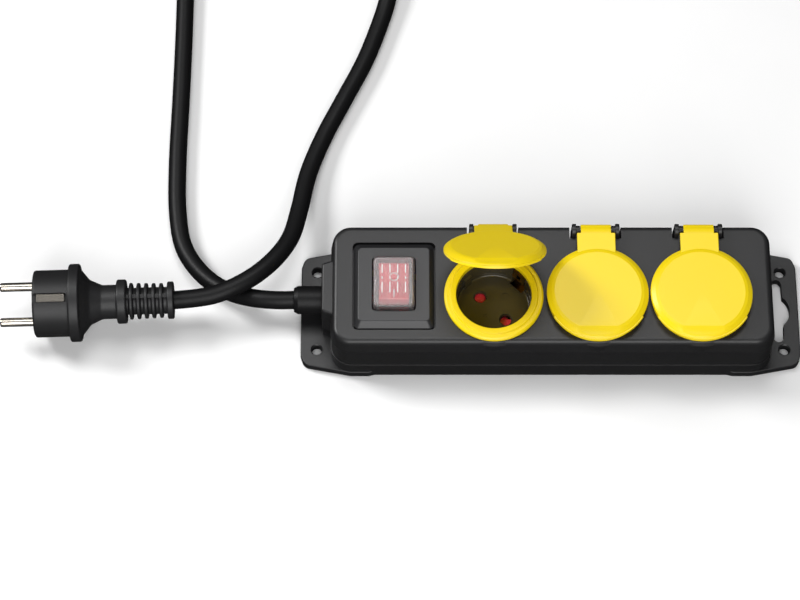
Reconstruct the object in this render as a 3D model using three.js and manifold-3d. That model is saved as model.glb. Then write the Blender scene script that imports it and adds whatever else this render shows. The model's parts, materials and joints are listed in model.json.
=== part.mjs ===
// Outdoor extension cord: a three-outlet power strip with hinged lids and a lit rocker switch,
// its rubber mains cord wound in a coil, and a moulded two-pin earthed plug.
// Millimetres, +Z up, +X to the end with the hanging slot, +Y to the lids' hinges.
// The origin is on the surface that the strip stands on, under the middle of the strip.
import * as THREE from "three";
import { mergeVertices } from "three/addons/utils/BufferGeometryUtils.js";
import Module from "manifold-3d";

const wasm = await Module();
wasm.setup();

// ---- Driving dimensions ----
const CLEARANCE = 0.3; // between pieces that touch
const WALL = 2.5; // housing and tray
const BODY_LENGTH = 234.8;
const BODY_DEPTH = 71.6;
const BODY_CORNER = 11;
const BODY_HEIGHT = 38; // to the top face
const SHOULDER_HEIGHT = BODY_HEIGHT - 9.5; // where the upright walls end and the sloping shoulder starts
const SHOULDER_INSET = 5.5;
const SEAM_HEIGHT = 13; // top of the tray's wall

const EAR_THICKNESS = 5;
const EAR_REACH = 16.3; // beyond the body at each end
const EAR_HALF_DEPTH = 30.8;
const EAR_CORNER = 5;
const EAR_HOLE_RADIUS = 2.75;
const EAR_HOLE_REACH = 7.6; // from the body's end to the holes' middle
const EAR_HOLE_SPACING_Y = 46;
const SLOT_WIDTH = 5.8;
const SLOT_LENGTH = 37;
const SLOT_HEAD_RADIUS = 11;

const OUTLET_MIDDLE_X = 23.5; // the middle outlet
const OUTLET_Y = -7.6;
const WELL_RADIUS = 19.7;
const WELL_DEPTH = 17.5;
const CUP_WALL = 2.8;
const CUP_FLOOR = 2.5;
const BOSS_WALL = 2.5;
const BOSS_DEEP = 6; // it stands down from the housing's ceiling by this
const BOSS_STEP = 0.4; // the housing's round boss ends this far below its top face
const COLLAR_RADIUS = WELL_RADIUS + 6.5;
const COLLAR_HEIGHT = 3.2;
const COLLAR_SPIGOT = 1.9; // thickness of its wall in the housing's hole
const OUTLET_TURN = Math.PI / 4; // each outlet is turned so that its pins lie on a diagonal
const PIN_SPACING = 19;
const PIN_RADIUS = 2.4;
const PIN_LENGTH = 19;

const LID_RADIUS = COLLAR_RADIUS + 0.6;
const OUTLET_PITCH = 2 * LID_RADIUS + 1; // closed lids pass each other with 1 mm between
const LID_LIP = 0.6; // how far the thumb lip stands out of the lid's round edge
const LID_THICKNESS = 1.7;
const LID_HEIGHT = 3.6;
const LID_REST_ANGLE = THREE.MathUtils.degToRad(44); // the first lid stands open
const HINGE_Y = BODY_DEPTH / 2 - 5.3;
const HINGE_Z = BODY_HEIGHT + 2.5;
const HINGE_PIN_RADIUS = 1;
const KNUCKLE_RADIUS = 3;
const LUG_INNER = 10.4; // from the middle of the lid
const LUG_THICKNESS = 2.2;
const LUG_SLIT = 1.1; // open gap outside each lug

const SWITCH_X = -BODY_LENGTH / 2 + 33.7;
const SWITCH_Y = -1.2;
const POCKET_LENGTH = 44; // pocket in the housing that the switch frame sits in
const POCKET_DEPTH_Y = 51.4;
const POCKET_DEEP = 4;
const FRAME_TOP_LENGTH = 37.8;
const FRAME_TOP_DEPTH_Y = 43.2;
const FRAME_RISE = 2.4; // above the housing's top face
const WINDOW_LENGTH = 22.6;
const WINDOW_DEPTH_Y = 30.6;
const CAP_RISE = 4; // above the frame
const CAP_WALL = 0.9;
const ROCKER_TILT = THREE.MathUtils.degToRad(11);

const CORD_RADIUS = 4.9;
const CORD_AXIS_Z = 18.4;
const SLEEVE_RADIUS = CORD_RADIUS + 2.65;
const SLEEVE_REACH = 19.7; // from the body's end to the sleeve's tip
const PORT_REACH = 4.7; // the raised cord port stands out of the body's end by this
const PORT_HALF_DEPTH = 14;
const PORT_ROOT_HALF_DEPTH = 18;
const PORT_TOP = BODY_HEIGHT - 3.5;

const SCREW_RADIUS = 1.5;
const SCREW_HEAD_RADIUS = 3;
const PILLAR_RADIUS = 4;

// ---- Sizes that follow ----
const bodyEnd = BODY_LENGTH / 2;
const bodySide = BODY_DEPTH / 2;
const pocketFloor = BODY_HEIGHT - POCKET_DEEP;
const ceiling = BODY_HEIGHT - WALL;
const collarTop = BODY_HEIGHT + CLEARANCE + COLLAR_HEIGHT;
const wellFloor = collarTop - WELL_DEPTH;
const cupRadius = WELL_RADIUS + CUP_WALL;
const cupBottom = wellFloor - CUP_FLOOR;
const spigotInner = cupRadius + CLEARANCE;
const spigotOuter = spigotInner + COLLAR_SPIGOT;
const outletHole = spigotOuter + CLEARANCE;
const bossRadius = outletHole + BOSS_WALL;
const sleeveTip = -bodyEnd - SLEEVE_REACH;
const outletXs = [-1, 0, 1].map((step) => OUTLET_MIDDLE_X + step * OUTLET_PITCH);
const floorTop = WALL;
const lidBottom = collarTop + CLEARANCE;

// ---- Solids ----
function toSolid(geometry) {
  const bare = geometry.index ? geometry.toNonIndexed() : geometry.clone();
  bare.deleteAttribute("normal");
  bare.deleteAttribute("uv");
  const merged = mergeVertices(bare, 1e-4);
  return new wasm.Manifold(
    new wasm.Mesh({
      numProp: 3,
      vertProperties: new Float32Array(merged.attributes.position.array),
      triVerts: new Uint32Array(merged.index.array),
    }),
  );
}

function toGeometry(solid) {
  const mesh = solid.getMesh();
  const geometry = new THREE.BufferGeometry();
  const positions = new Float32Array(mesh.numVert * 3);
  for (let i = 0; i < mesh.numVert; i++) {
    positions.set(mesh.vertProperties.subarray(i * mesh.numProp, i * mesh.numProp + 3), i * 3);
  }
  geometry.setAttribute("position", new THREE.BufferAttribute(positions, 3));
  geometry.setIndex(new THREE.BufferAttribute(mesh.triVerts, 1));
  return geometry;
}

const inOrder = (a, b) => [Math.min(a, b), Math.max(a, b)];
const join = (...solids) => solids.reduce((all, next) => all.add(next));
const cut = (body, ...tools) => tools.reduce((left, tool) => left.subtract(tool), body);

// A block between two corners.
function block(low, high) {
  const size = high.map((value, i) => value - low[i]);
  const middle = high.map((value, i) => (value + low[i]) / 2);
  return toSolid(new THREE.BoxGeometry(...size).translate(...middle));
}

// A block given by its middle in plan, its size in plan and its two heights.
function slab(x, y, length, depth, low, high) {
  return block([x - length / 2, y - depth / 2, low], [x + length / 2, y + depth / 2, high]);
}

function roundedRectangle(halfLength, halfDepth, corner) {
  const shape = new THREE.Shape();
  const x = halfLength - corner;
  const y = halfDepth - corner;
  shape.absarc(x, y, corner, 0, Math.PI / 2);
  shape.absarc(-x, y, corner, Math.PI / 2, Math.PI);
  shape.absarc(-x, -y, corner, Math.PI, 1.5 * Math.PI);
  shape.absarc(x, -y, corner, 1.5 * Math.PI, 2 * Math.PI);
  return shape;
}

function upright(shape, low, high, curveSegments = 4) {
  const options = { depth: high - low, bevelEnabled: false, curveSegments };
  return toSolid(new THREE.ExtrudeGeometry(shape, options).translate(0, 0, low));
}

// A rounded box whose upper edge slopes in: upright walls to `shoulder`, then up to `high`.
function shoulderedBox(halfLength, halfDepth, corner, low, shoulder, high, inset) {
  const shape = roundedRectangle(halfLength - inset, halfDepth - inset, corner - inset);
  const options = {
    depth: shoulder - low,
    bevelThickness: high - shoulder,
    bevelSize: inset,
    bevelSegments: 2,
    curveSegments: 3,
  };
  const whole = toSolid(new THREE.ExtrudeGeometry(shape, options).translate(0, 0, low));
  const reach = 2 * (halfLength + halfDepth);
  return cut(whole, slab(0, 0, reach, reach, low - 2 * (high - shoulder), low));
}

// A solid of revolution about a vertical axis, from [radius, height] points.
function turned(points, x = 0, y = 0, sides = 28) {
  const profile = points.map(([radius, height]) => new THREE.Vector2(radius, height));
  const geometry = new THREE.LatheGeometry(profile, sides).rotateX(Math.PI / 2);
  return toSolid(geometry.translate(x, y, 0));
}

// A ring or tube wall of revolution between two radii and two heights.
function ring(inner, outer, low, high, x = 0, y = 0, sides = 28) {
  const points = [
    [inner, low],
    [outer, low],
    [outer, high],
    [inner, high],
    [inner, low],
  ];
  return turned(points, x, y, sides);
}

function post(radius, low, high, x, y, sides = 12) {
  const geometry = new THREE.CylinderGeometry(radius, radius, high - low, sides);
  return toSolid(geometry.rotateX(Math.PI / 2).translate(x, y, (low + high) / 2));
}

// A rod along X between two places.
function crossRod(radius, from, to, y, z, sides = 12) {
  const geometry = new THREE.CylinderGeometry(radius, radius, to - from, sides);
  return toSolid(geometry.rotateZ(Math.PI / 2).translate((from + to) / 2, y, z));
}

// A solid of revolution about a line along X, from [x, radius] points.
function turnedAlongX(points, y, z, sides = 20) {
  const profile = points.map(([along, radius]) => new THREE.Vector2(radius, along));
  const geometry = new THREE.LatheGeometry(profile, sides).rotateZ(-Math.PI / 2);
  return toSolid(geometry.translate(0, y, z));
}

// A prism along X of an outline drawn in [y, z].
function crossPrism(outline, from, to, curveSegments = 6) {
  const options = { depth: to - from, bevelEnabled: false, curveSegments };
  const geometry = new THREE.ExtrudeGeometry(outline, options);
  const turn = new THREE.Matrix4().makeBasis(
    new THREE.Vector3(0, 1, 0),
    new THREE.Vector3(0, 0, 1),
    new THREE.Vector3(1, 0, 0),
  );
  return toSolid(geometry.applyMatrix4(turn).translate(from, 0, 0));
}

const outlineOf = (points) => new THREE.Shape(points.map(([a, b]) => new THREE.Vector2(a, b)));

// A flexible round tube along a smooth curve through the points.
function tube(points, radius, sides, steps) {
  const section = new THREE.Shape();
  section.absarc(0, 0, radius, 0, 2 * Math.PI);
  const places = points.map((point) => new THREE.Vector3(...point));
  const route = new THREE.CatmullRomCurve3(places, false, "centripetal");
  const options = { steps, extrudePath: route, curveSegments: sides };
  return toSolid(new THREE.ExtrudeGeometry(section, options));
}

// ---- Materials ----
function finish(color, roughness, metalness = 0) {
  return new THREE.MeshStandardMaterial({ color, roughness, metalness });
}
const blackPlastic = finish("#3b3b3d", 0.55);
const darkPlastic = finish("#2b2b2c", 0.5);
const yellowPlastic = finish("#f4dc2c", 0.35);
const wellPlastic = finish("#3a3427", 0.3);
const redPlastic = finish("#c8202c", 0.35);
const clearPlastic = finish("#e9e4e4", 0.2);
const blackRubber = finish("#343436", 0.7);
const cordRubber = finish("#222224", 0.6);
const nickel = finish("#d9d5cb", 0.22, 1);
const brass = finish("#c9a75a", 0.3, 1);
const steel = finish("#b9bbbe", 0.35, 1);
const brownCover = finish("#6b3a1e", 0.5);
const blueCover = finish("#2559a8", 0.5);
const greenCover = finish("#7fae2d", 0.5);
const webbing = finish("#1d1d1f", 0.9);

const model = new THREE.Group();
function addPiece(name, solid, material, parent = model) {
  const mesh = new THREE.Mesh(toGeometry(solid), material);
  mesh.name = name;
  parent.add(mesh);
  return mesh;
}

// ---- Screws that close the strip from below ----
const screwX = bodyEnd - 10.4;
const screwY = bodySide - 11.3;
const middleScrewX = OUTLET_MIDDLE_X - OUTLET_PITCH / 2; // between two outlets
const screwPlaces = [
  [-screwX, screwY],
  [-screwX, -screwY],
  [middleScrewX, bodySide - 9.8],
  [middleScrewX, -bodySide + 8.8],
  [screwX, screwY],
  [screwX, -screwY],
];
const SCREW_HEAD_HEIGHT = 1.8;
const SCREW_HEAD_SEAT = 2.8; // top of the head, which bears on the tray
const SCREW_TIP = 24;
const TRAY_PILLAR_TOP = 9;

// ---- Top housing ----
const KNUCKLE_HALF = 8; // half the width of the lid's knuckle
const LUG_COLLAR_RADIUS = 2.4;
const LUG_EYE_WALL = 0.4; // the lug's eye is this much larger than the knuckle
const pinHole = HINGE_PIN_RADIUS + CLEARANCE;
const notchHalf = LUG_INNER + LUG_THICKNESS + LUG_SLIT;
const notchFront = HINGE_Y - KNUCKLE_RADIUS - 2 * CLEARANCE;
const notchFloor = HINGE_Z - KNUCKLE_RADIUS - 6;

// The block of plastic that a hinge notch is cut into.
function hingeTower(x) {
  const half = notchHalf + WALL;
  const front = notchFront + CLEARANCE - WALL - 1;
  return block(
    [x - half, front, SEAM_HEIGHT + CLEARANCE],
    [x + half, bodySide - WALL + 1, ceiling + 1],
  );
}

// The open notch of a hinge, with a deep slit outside each lug.
function hingeNotch(x) {
  const beyond = bodySide + 1;
  const above = BODY_HEIGHT + 1;
  const notch = block([x - notchHalf, notchFront, notchFloor], [x + notchHalf, beyond, above]);
  const slits = [-1, 1].map((side) => {
    const ends = inOrder(side * (notchHalf - LUG_SLIT), side * notchHalf);
    return block(
      [x + ends[0], notchFront + 3, SEAM_HEIGHT + 3],
      [x + ends[1], beyond, above],
    );
  });
  return join(notch, ...slits);
}

// One lug is an upright arm with a round eye, and a thin collar on its inner side.
function hingeLug(x, side) {
  const foot = notchFloor - 1;
  const eye = KNUCKLE_RADIUS + LUG_EYE_WALL;
  const arm = new THREE.Shape();
  arm.moveTo(HINGE_Y - eye, foot);
  arm.lineTo(HINGE_Y + eye + 1, foot);
  arm.lineTo(HINGE_Y + eye, HINGE_Z);
  arm.absarc(HINGE_Y, HINGE_Z, eye, 0, Math.PI);
  const ends = inOrder(side * LUG_INNER, side * (LUG_INNER + LUG_THICKNESS));
  const collarEnds = inOrder(side * (KNUCKLE_HALF + CLEARANCE), side * (LUG_INNER + 0.5));
  return join(
    crossPrism(arm, x + ends[0], x + ends[1], 8),
    crossRod(LUG_COLLAR_RADIUS, x + collarEnds[0], x + collarEnds[1], HINGE_Y, HINGE_Z),
  );
}

// The raised cord port in plan, or its hollow when it is moved in by a wall.
function cordPortOutline(inset = 0) {
  const tip = -bodyEnd - PORT_REACH;
  const root = -bodyEnd + SHOULDER_INSET + 1;
  return outlineOf([
    [tip + inset, -PORT_HALF_DEPTH + inset],
    [root, -PORT_ROOT_HALF_DEPTH + inset],
    [root, PORT_ROOT_HALF_DEPTH - inset],
    [tip + inset, PORT_HALF_DEPTH - inset],
  ]);
}
const sleeveHole = crossRod(
  SLEEVE_RADIUS + CLEARANCE,
  -bodyEnd - PORT_REACH - 1,
  -bodyEnd + WALL + SHOULDER_INSET,
  0,
  CORD_AXIS_Z,
  24,
);

function makeTopHousing() {
  const low = SEAM_HEIGHT + CLEARANCE;
  const outer = shoulderedBox(
    bodyEnd, bodySide, BODY_CORNER, low, SHOULDER_HEIGHT, BODY_HEIGHT, SHOULDER_INSET,
  );
  const cavity = shoulderedBox(
    bodyEnd - WALL, bodySide - WALL, BODY_CORNER - WALL, low - 1, SHOULDER_HEIGHT - WALL,
    ceiling, SHOULDER_INSET,
  );
  const pocketBlock = slab(
    SWITCH_X, SWITCH_Y, POCKET_LENGTH + 2 * WALL, POCKET_DEPTH_Y + 2 * WALL,
    pocketFloor - WALL, ceiling + 1,
  );
  const pillarLow = TRAY_PILLAR_TOP + CLEARANCE;
  const insidePieces = [
    pocketBlock.intersect(outer),
    ...outletXs.map((x) =>
      ring(outletHole - 1, bossRadius, ceiling - BOSS_DEEP, BODY_HEIGHT - BOSS_STEP, x, OUTLET_Y),
    ),
    ...outletXs.map(hingeTower),
    ...screwPlaces.map(([x, y]) => post(PILLAR_RADIUS, pillarLow, ceiling + 0.7, x, y)),
    upright(cordPortOutline(), low, PORT_TOP),
  ];
  const windowRoom = 4; // the hole under the switch is this much larger than its window
  const portHollow = upright(cordPortOutline(WALL), low - 1, PORT_TOP - WALL);
  const holes = [
    ...outletXs.map((x) =>
      post(outletHole, ceiling - BOSS_DEEP - 1, BODY_HEIGHT + 1, x, OUTLET_Y, 28),
    ),
    ...outletXs.map(hingeNotch),
    ...screwPlaces.map(([x, y]) => post(SCREW_RADIUS + CLEARANCE, 0, SCREW_TIP + 1, x, y)),
    slab(SWITCH_X, SWITCH_Y, POCKET_LENGTH, POCKET_DEPTH_Y, pocketFloor, BODY_HEIGHT + 1),
    slab(
      SWITCH_X, SWITCH_Y, WINDOW_LENGTH + windowRoom, WINDOW_DEPTH_Y + windowRoom,
      pocketFloor - WALL - 1, pocketFloor + 1,
    ),
    portHollow,
    sleeveHole,
  ];
  const lugs = outletXs.flatMap((x) => [-1, 1].map((side) => hingeLug(x, side)));
  const pinHoles = outletXs.map((x) =>
    crossRod(pinHole, x - notchHalf, x + notchHalf, HINGE_Y, HINGE_Z),
  );
  const shell = cut(join(cut(outer, cavity), ...insidePieces), ...holes);
  return cut(join(shell, ...lugs), ...pinHoles);
}
addPiece("top_housing", makeTopHousing(), blackPlastic);

// ---- Cord clamp's places ----
const CLAMP_X = -bodyEnd + 13.2;
const CLAMP_LENGTH = 5;
const CLAMP_DEPTH_Y = 26;
const CLAMP_BRIDGE = 3; // plastic above the cord
const CLAMP_SCREW_Y = CORD_RADIUS + 4.6;
const CLAMP_SCREW_TIP = 5;
const clampTop = CORD_AXIS_Z + CORD_RADIUS + CLAMP_BRIDGE;
const clampScrewHoles = [-1, 1].map((side) =>
  post(SCREW_RADIUS + CLEARANCE, CLAMP_SCREW_TIP - 1, clampTop + 1, CLAMP_X, side * CLAMP_SCREW_Y),
);

// ---- Base tray with its mounting ears ----
const ARM_START = bodyEnd - 25.4; // where the ear's sloping arm leaves the body's long side
const ARM_RISE = 6; // length of its sloping start
const ARM_BULGE = 0.7;
function earOutline() {
  const end = bodyEnd + EAR_REACH;
  const shape = new THREE.Shape();
  const knee = end - EAR_CORNER;
  const side = EAR_HALF_DEPTH;
  shape.moveTo(ARM_START, -bodySide + 1);
  shape.lineTo(ARM_START + ARM_RISE, -bodySide - ARM_BULGE);
  shape.lineTo(bodyEnd - BODY_CORNER, -bodySide - ARM_BULGE);
  shape.lineTo(knee - 1, -side - 1);
  shape.absarc(knee, -side + EAR_CORNER, EAR_CORNER, -Math.PI / 2 + 0.3, 0);
  shape.absarc(knee, side - EAR_CORNER, EAR_CORNER, 0, Math.PI / 2 - 0.3);
  shape.lineTo(knee - 1, side + 1);
  shape.lineTo(bodyEnd - BODY_CORNER, bodySide + ARM_BULGE);
  shape.lineTo(ARM_START + ARM_RISE, bodySide + ARM_BULGE);
  shape.lineTo(ARM_START, bodySide - 1);
  return shape;
}

function makeEar(side) {
  const plate = upright(earOutline(), 0, EAR_THICKNESS, 5);
  return side > 0 ? plate : plate.mirror([1, 0, 0]);
}

const slotX = bodyEnd + 2.2 + SLOT_WIDTH / 2;
function makeHangingSlot() {
  const straight = SLOT_LENGTH - SLOT_WIDTH;
  const below = -1;
  const above = EAR_THICKNESS + 1;
  const head = post(SLOT_HEAD_RADIUS, below, above, bodyEnd + 0.8, 0, 32);
  const headKept = head.intersect(slab(slotX + 10, 0, 20 + SLOT_WIDTH, SLOT_LENGTH, below, above));
  return join(
    slab(slotX, 0, SLOT_WIDTH, straight, below, above),
    post(SLOT_WIDTH / 2, below, above, slotX, straight / 2),
    post(SLOT_WIDTH / 2, below, above, slotX, -straight / 2),
    headKept,
  );
}

const earHoles = [-1, 1].flatMap((sideX) =>
  [-1, 1].map((sideY) => {
    const x = sideX * (bodyEnd + EAR_HOLE_REACH);
    const y = (sideY * EAR_HOLE_SPACING_Y) / 2;
    return post(EAR_HOLE_RADIUS, -1, EAR_THICKNESS + 1, x, y);
  }),
);
const SEAL_HEIGHT = 1.2;
const sealSeat = SEAM_HEIGHT - SEAL_HEIGHT - CLEARANCE;
const sealOuterInset = WALL / 2; // the seal lies on the inner half of the tray's wall

function makeBaseTray() {
  const wall = roundedRectangle(bodyEnd, bodySide, BODY_CORNER);
  const hollow = roundedRectangle(bodyEnd - WALL, bodySide - WALL, BODY_CORNER - WALL);
  const rebate = roundedRectangle(
    bodyEnd - sealOuterInset, bodySide - sealOuterInset, BODY_CORNER - sealOuterInset,
  );
  const body = cut(
    join(upright(wall, 0, SEAM_HEIGHT), upright(cordPortOutline(), 0, SEAM_HEIGHT)),
    upright(hollow, floorTop, SEAM_HEIGHT + 1),
    upright(cordPortOutline(WALL), floorTop, SEAM_HEIGHT + 1),
    upright(rebate, sealSeat, SEAM_HEIGHT + 1),
  );
  const pillars = screwPlaces.map(([x, y]) =>
    post(PILLAR_RADIUS, floorTop - 1, TRAY_PILLAR_TOP, x, y),
  );
  const bores = screwPlaces.flatMap(([x, y]) => [
    post(SCREW_RADIUS + CLEARANCE, -1, TRAY_PILLAR_TOP + 1, x, y),
    post(SCREW_HEAD_RADIUS + CLEARANCE, -1, SCREW_HEAD_SEAT + CLEARANCE, x, y),
  ]);
  const inside = upright(wall, floorTop, EAR_THICKNESS + 1);
  const ears = [-1, 1].map((side) => cut(makeEar(side), inside));
  const restTop = CORD_AXIS_Z - CORD_RADIUS - CLEARANCE;
  const clampRest = slab(CLAMP_X, 0, CLAMP_LENGTH, CLAMP_DEPTH_Y, floorTop - 1, restTop);
  return cut(
    join(body, ...ears, ...pillars, clampRest),
    ...bores,
    ...earHoles,
    makeHangingSlot(),
    sleeveHole,
    ...clampScrewHoles,
  );
}
addPiece("base_tray", makeBaseTray(), blackPlastic);

function makeSeal() {
  const inset = sealOuterInset + CLEARANCE;
  const outside = roundedRectangle(bodyEnd - inset, bodySide - inset, BODY_CORNER - inset);
  const inside = roundedRectangle(bodyEnd - WALL, bodySide - WALL, BODY_CORNER - WALL);
  const low = sealSeat + CLEARANCE;
  const band = cut(upright(outside, low, low + SEAL_HEIGHT), upright(inside, low - 1, low + 3));
  const gap = slab(-bodyEnd, 0, 10 * WALL, 2 * PORT_ROOT_HALF_DEPTH + 2, low - 1, low + 3);
  return cut(band, gap);
}
addPiece("housing_seal", makeSeal(), blackRubber);

// ---- Sleeve, cord end and clamp ----
const innerFlange = -bodyEnd + WALL + SHOULDER_INSET + CLEARANCE;
addPiece(
  "cord_sleeve",
  turnedAlongX(
    [
      [sleeveTip, CORD_RADIUS + CLEARANCE],
      [sleeveTip, SLEEVE_RADIUS - 1],
      [sleeveTip + 1.8, SLEEVE_RADIUS],
      [innerFlange, SLEEVE_RADIUS],
      [innerFlange, SLEEVE_RADIUS + 2],
      [innerFlange + 1.5, SLEEVE_RADIUS + 2],
      [innerFlange + 1.5, CORD_RADIUS + CLEARANCE],
      [sleeveTip, CORD_RADIUS + CLEARANCE],
    ],
    0,
    CORD_AXIS_Z,
  ),
  blackRubber,
);
const cordEnd = CLAMP_X + CLAMP_LENGTH / 2 + 0.8;
addPiece("cord_end", crossRod(CORD_RADIUS, sleeveTip, cordEnd, 0, CORD_AXIS_Z), cordRubber);

function makeClamp() {
  const low = CORD_AXIS_Z - CORD_RADIUS;
  const bridge = slab(CLAMP_X, 0, CLAMP_LENGTH, CLAMP_DEPTH_Y, low, clampTop);
  const channel = crossRod(CORD_RADIUS + CLEARANCE, CLAMP_X - 5, CLAMP_X + 5, 0, CORD_AXIS_Z);
  const mouth = slab(CLAMP_X, 0, 10, 2 * (CORD_RADIUS + CLEARANCE), low - 1, CORD_AXIS_Z);
  return cut(bridge, channel, mouth, ...clampScrewHoles);
}
addPiece("cord_clamp", makeClamp(), darkPlastic);

// ---- Screws ----
function makeScrew(x, y, headLow, headHigh, shankEnd) {
  return join(
    post(SCREW_HEAD_RADIUS, headLow, headHigh, x, y),
    post(SCREW_RADIUS, Math.min(shankEnd, headLow), Math.max(shankEnd, headHigh), x, y, 10),
  );
}
[-1, 1].forEach((side, i) => {
  const low = clampTop + CLEARANCE;
  const high = low + SCREW_HEAD_HEIGHT;
  const screw = makeScrew(CLAMP_X, side * CLAMP_SCREW_Y, low, high, CLAMP_SCREW_TIP);
  addPiece("clamp_screw_" + (i + 1), screw, steel);
});
screwPlaces.forEach(([x, y], i) => {
  const low = SCREW_HEAD_SEAT - SCREW_HEAD_HEIGHT;
  addPiece("housing_screw_" + (i + 1), makeScrew(x, y, low, SCREW_HEAD_SEAT, SCREW_TIP), steel);
});

// ---- Outlets ----
// What lies in an outlet is drawn with its pin holes on X, then turned and placed.
function placed(solid, x) {
  const degrees = THREE.MathUtils.radToDeg(OUTLET_TURN);
  return solid.rotate([0, 0, -degrees]).translate([x, OUTLET_Y, 0]);
}

function makeCollar(x) {
  const low = BODY_HEIGHT + CLEARANCE;
  const profile = [
    [WELL_RADIUS + 0.2, low],
    [WELL_RADIUS + 0.2, collarTop],
    [WELL_RADIUS + 3.4, collarTop],
    [WELL_RADIUS + 3.8, collarTop - 0.7],
    [COLLAR_RADIUS - 0.9, collarTop - 0.7],
    [COLLAR_RADIUS, collarTop - 1.5],
    [COLLAR_RADIUS, low],
    [spigotOuter, low],
    [spigotOuter, ceiling],
    [spigotInner, ceiling],
    [spigotInner, low],
    [WELL_RADIUS + 0.2, low],
  ];
  return turned(profile.reverse(), x, OUTLET_Y);
}

const CLIP_WIDTH = 8;
const CLIP_THICKNESS = 0.8;
const CLIP_RADIUS = WELL_RADIUS + 0.9; // of the clip's straight legs, in the cup's wall
const CLIP_LOW = cupBottom - 9.5;
const SHUTTER_THICKNESS = 1.6;
const SHUTTER_RADIUS = 13.5;
const SHUTTER_TURN = THREE.MathUtils.degToRad(30); // from covering the pin holes to clearing them
const pinHoleRadius = PIN_RADIUS + 0.5;

function makeSocketInsert(x) {
  const top = BODY_HEIGHT;
  const cup = turned(
    [
      [0, cupBottom],
      [cupRadius, cupBottom],
      [cupRadius, top],
      [WELL_RADIUS, top],
      [WELL_RADIUS, wellFloor],
      [0, wellFloor],
    ],
  );
  const guides = [-1, 1].map((side) =>
    slab(side * (WELL_RADIUS - 0.2), 0, 2.4, 5, wellFloor - 1, top - 5),
  );
  const pinHoles = [-1, 1].map((side) =>
    post(pinHoleRadius, cupBottom - 1, wellFloor + 1, (side * PIN_SPACING) / 2, 0, 12),
  );
  const clipSlots = [-1, 1].map((side) =>
    slab(0, side * (CLIP_RADIUS - 0.2), CLIP_WIDTH + 2 * CLEARANCE, 6.8, cupBottom - 1, top + 1),
  );
  return placed(cut(join(cup, ...guides), ...pinHoles, ...clipSlots), x);
}

function makeShutter(x) {
  const high = cupBottom - CLEARANCE;
  const low = high - SHUTTER_THICKNESS;
  const disc = post(SHUTTER_RADIUS, low, high, 0, 0, 24);
  const blades = slab(0, 0, 2 * SHUTTER_RADIUS, 9, low - 1, high + 1);
  const hub = post(5, low, high, 0, 0, 16);
  const openings = [-1, 1].map((side) => {
    const angle = SHUTTER_TURN;
    const reach = (side * PIN_SPACING) / 2;
    const x = reach * Math.cos(angle);
    const y = reach * Math.sin(angle);
    return post(pinHoleRadius, low - 1, high + 1, x, y, 12);
  });
  return placed(cut(join(disc.intersect(blades), hub), ...openings), x);
}

// The earth clip is one bent strip: two sprung legs in the wall and a bridge under the cup.
function makeEarthContact(x) {
  const top = BODY_HEIGHT - 2.5;
  const t = CLIP_THICKNESS;
  const r = CLIP_RADIUS;
  const outer = [
    [r + t, CLIP_LOW],
    [r + t, wellFloor + 1],
    [r - 2.4 + t, top - 4],
    [r - 0.8 + t, top],
  ];
  const inner = [
    [r - 0.8, top],
    [r - 2.4 - 0.1, top - 4],
    [r, wellFloor + 1],
    [r, CLIP_LOW + t],
  ];
  const right = [...outer, ...inner];
  const left = right.map(([a, b]) => [-a, b]).reverse();
  const strip = crossPrism(outlineOf([...right, ...left]), -CLIP_WIDTH / 2, CLIP_WIDTH / 2);
  return placed(strip, x);
}

outletXs.forEach((x, i) => {
  addPiece("outlet_collar_" + (i + 1), makeCollar(x), yellowPlastic);
  addPiece("socket_insert_" + (i + 1), makeSocketInsert(x), wellPlastic);
  addPiece("shutter_" + (i + 1), makeShutter(x), redPlastic);
  addPiece("earth_contact_" + (i + 1), makeEarthContact(x), brass);
});

// ---- Busbars: a flat rail with two spring blades at each outlet ----
const RAIL_LOW = floorTop + 1.2;
const RAIL_THICKNESS = 0.8;
const RAIL_WIDTH = 5;
const BLADE_THICKNESS = 0.8;
const BLADE_TOP = cupBottom - CLEARANCE - SHUTTER_THICKNESS - 1;
const railEnd = outletXs[2] + 14;
const pinOffset = (PIN_SPACING / 2) * Math.SQRT1_2;

function makeBusbar(side) {
  const y = OUTLET_Y - side * pinOffset;
  const start = SWITCH_X + 4;
  const rail = block(
    [start, y - RAIL_WIDTH / 2, RAIL_LOW],
    [railEnd, y + RAIL_WIDTH / 2, RAIL_LOW + RAIL_THICKNESS],
  );
  const blades = outletXs.flatMap((x) =>
    [-1, 1].map((edge) => {
      const bladeX = x + side * pinOffset + edge * (PIN_RADIUS + 0.4);
      return slab(bladeX, y, BLADE_THICKNESS, RAIL_WIDTH, RAIL_LOW, BLADE_TOP);
    }),
  );
  return join(rail, ...blades);
}
addPiece("live_busbar", makeBusbar(-1), brass);
addPiece("neutral_busbar", makeBusbar(1), brass);

function makeEarthBusbar() {
  const high = CLIP_LOW - CLEARANCE;
  return block(
    [outletXs[0] - 24, OUTLET_Y - 2, high - RAIL_THICKNESS],
    [outletXs[2] + 6, OUTLET_Y + 2, high],
  );
}
addPiece("earth_busbar", makeEarthBusbar(), brass);

// ---- Lids ----
const hingeAxis = new THREE.Vector3(0, HINGE_Y, HINGE_Z);
const lidTop = lidBottom + LID_HEIGHT;
const TAB_HALF = LUG_INNER - CLEARANCE;
const lidUnderside = lidTop - LID_THICKNESS - 0.4;
const LIP_HALF_ANGLE = THREE.MathUtils.degToRad(59);

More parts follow.
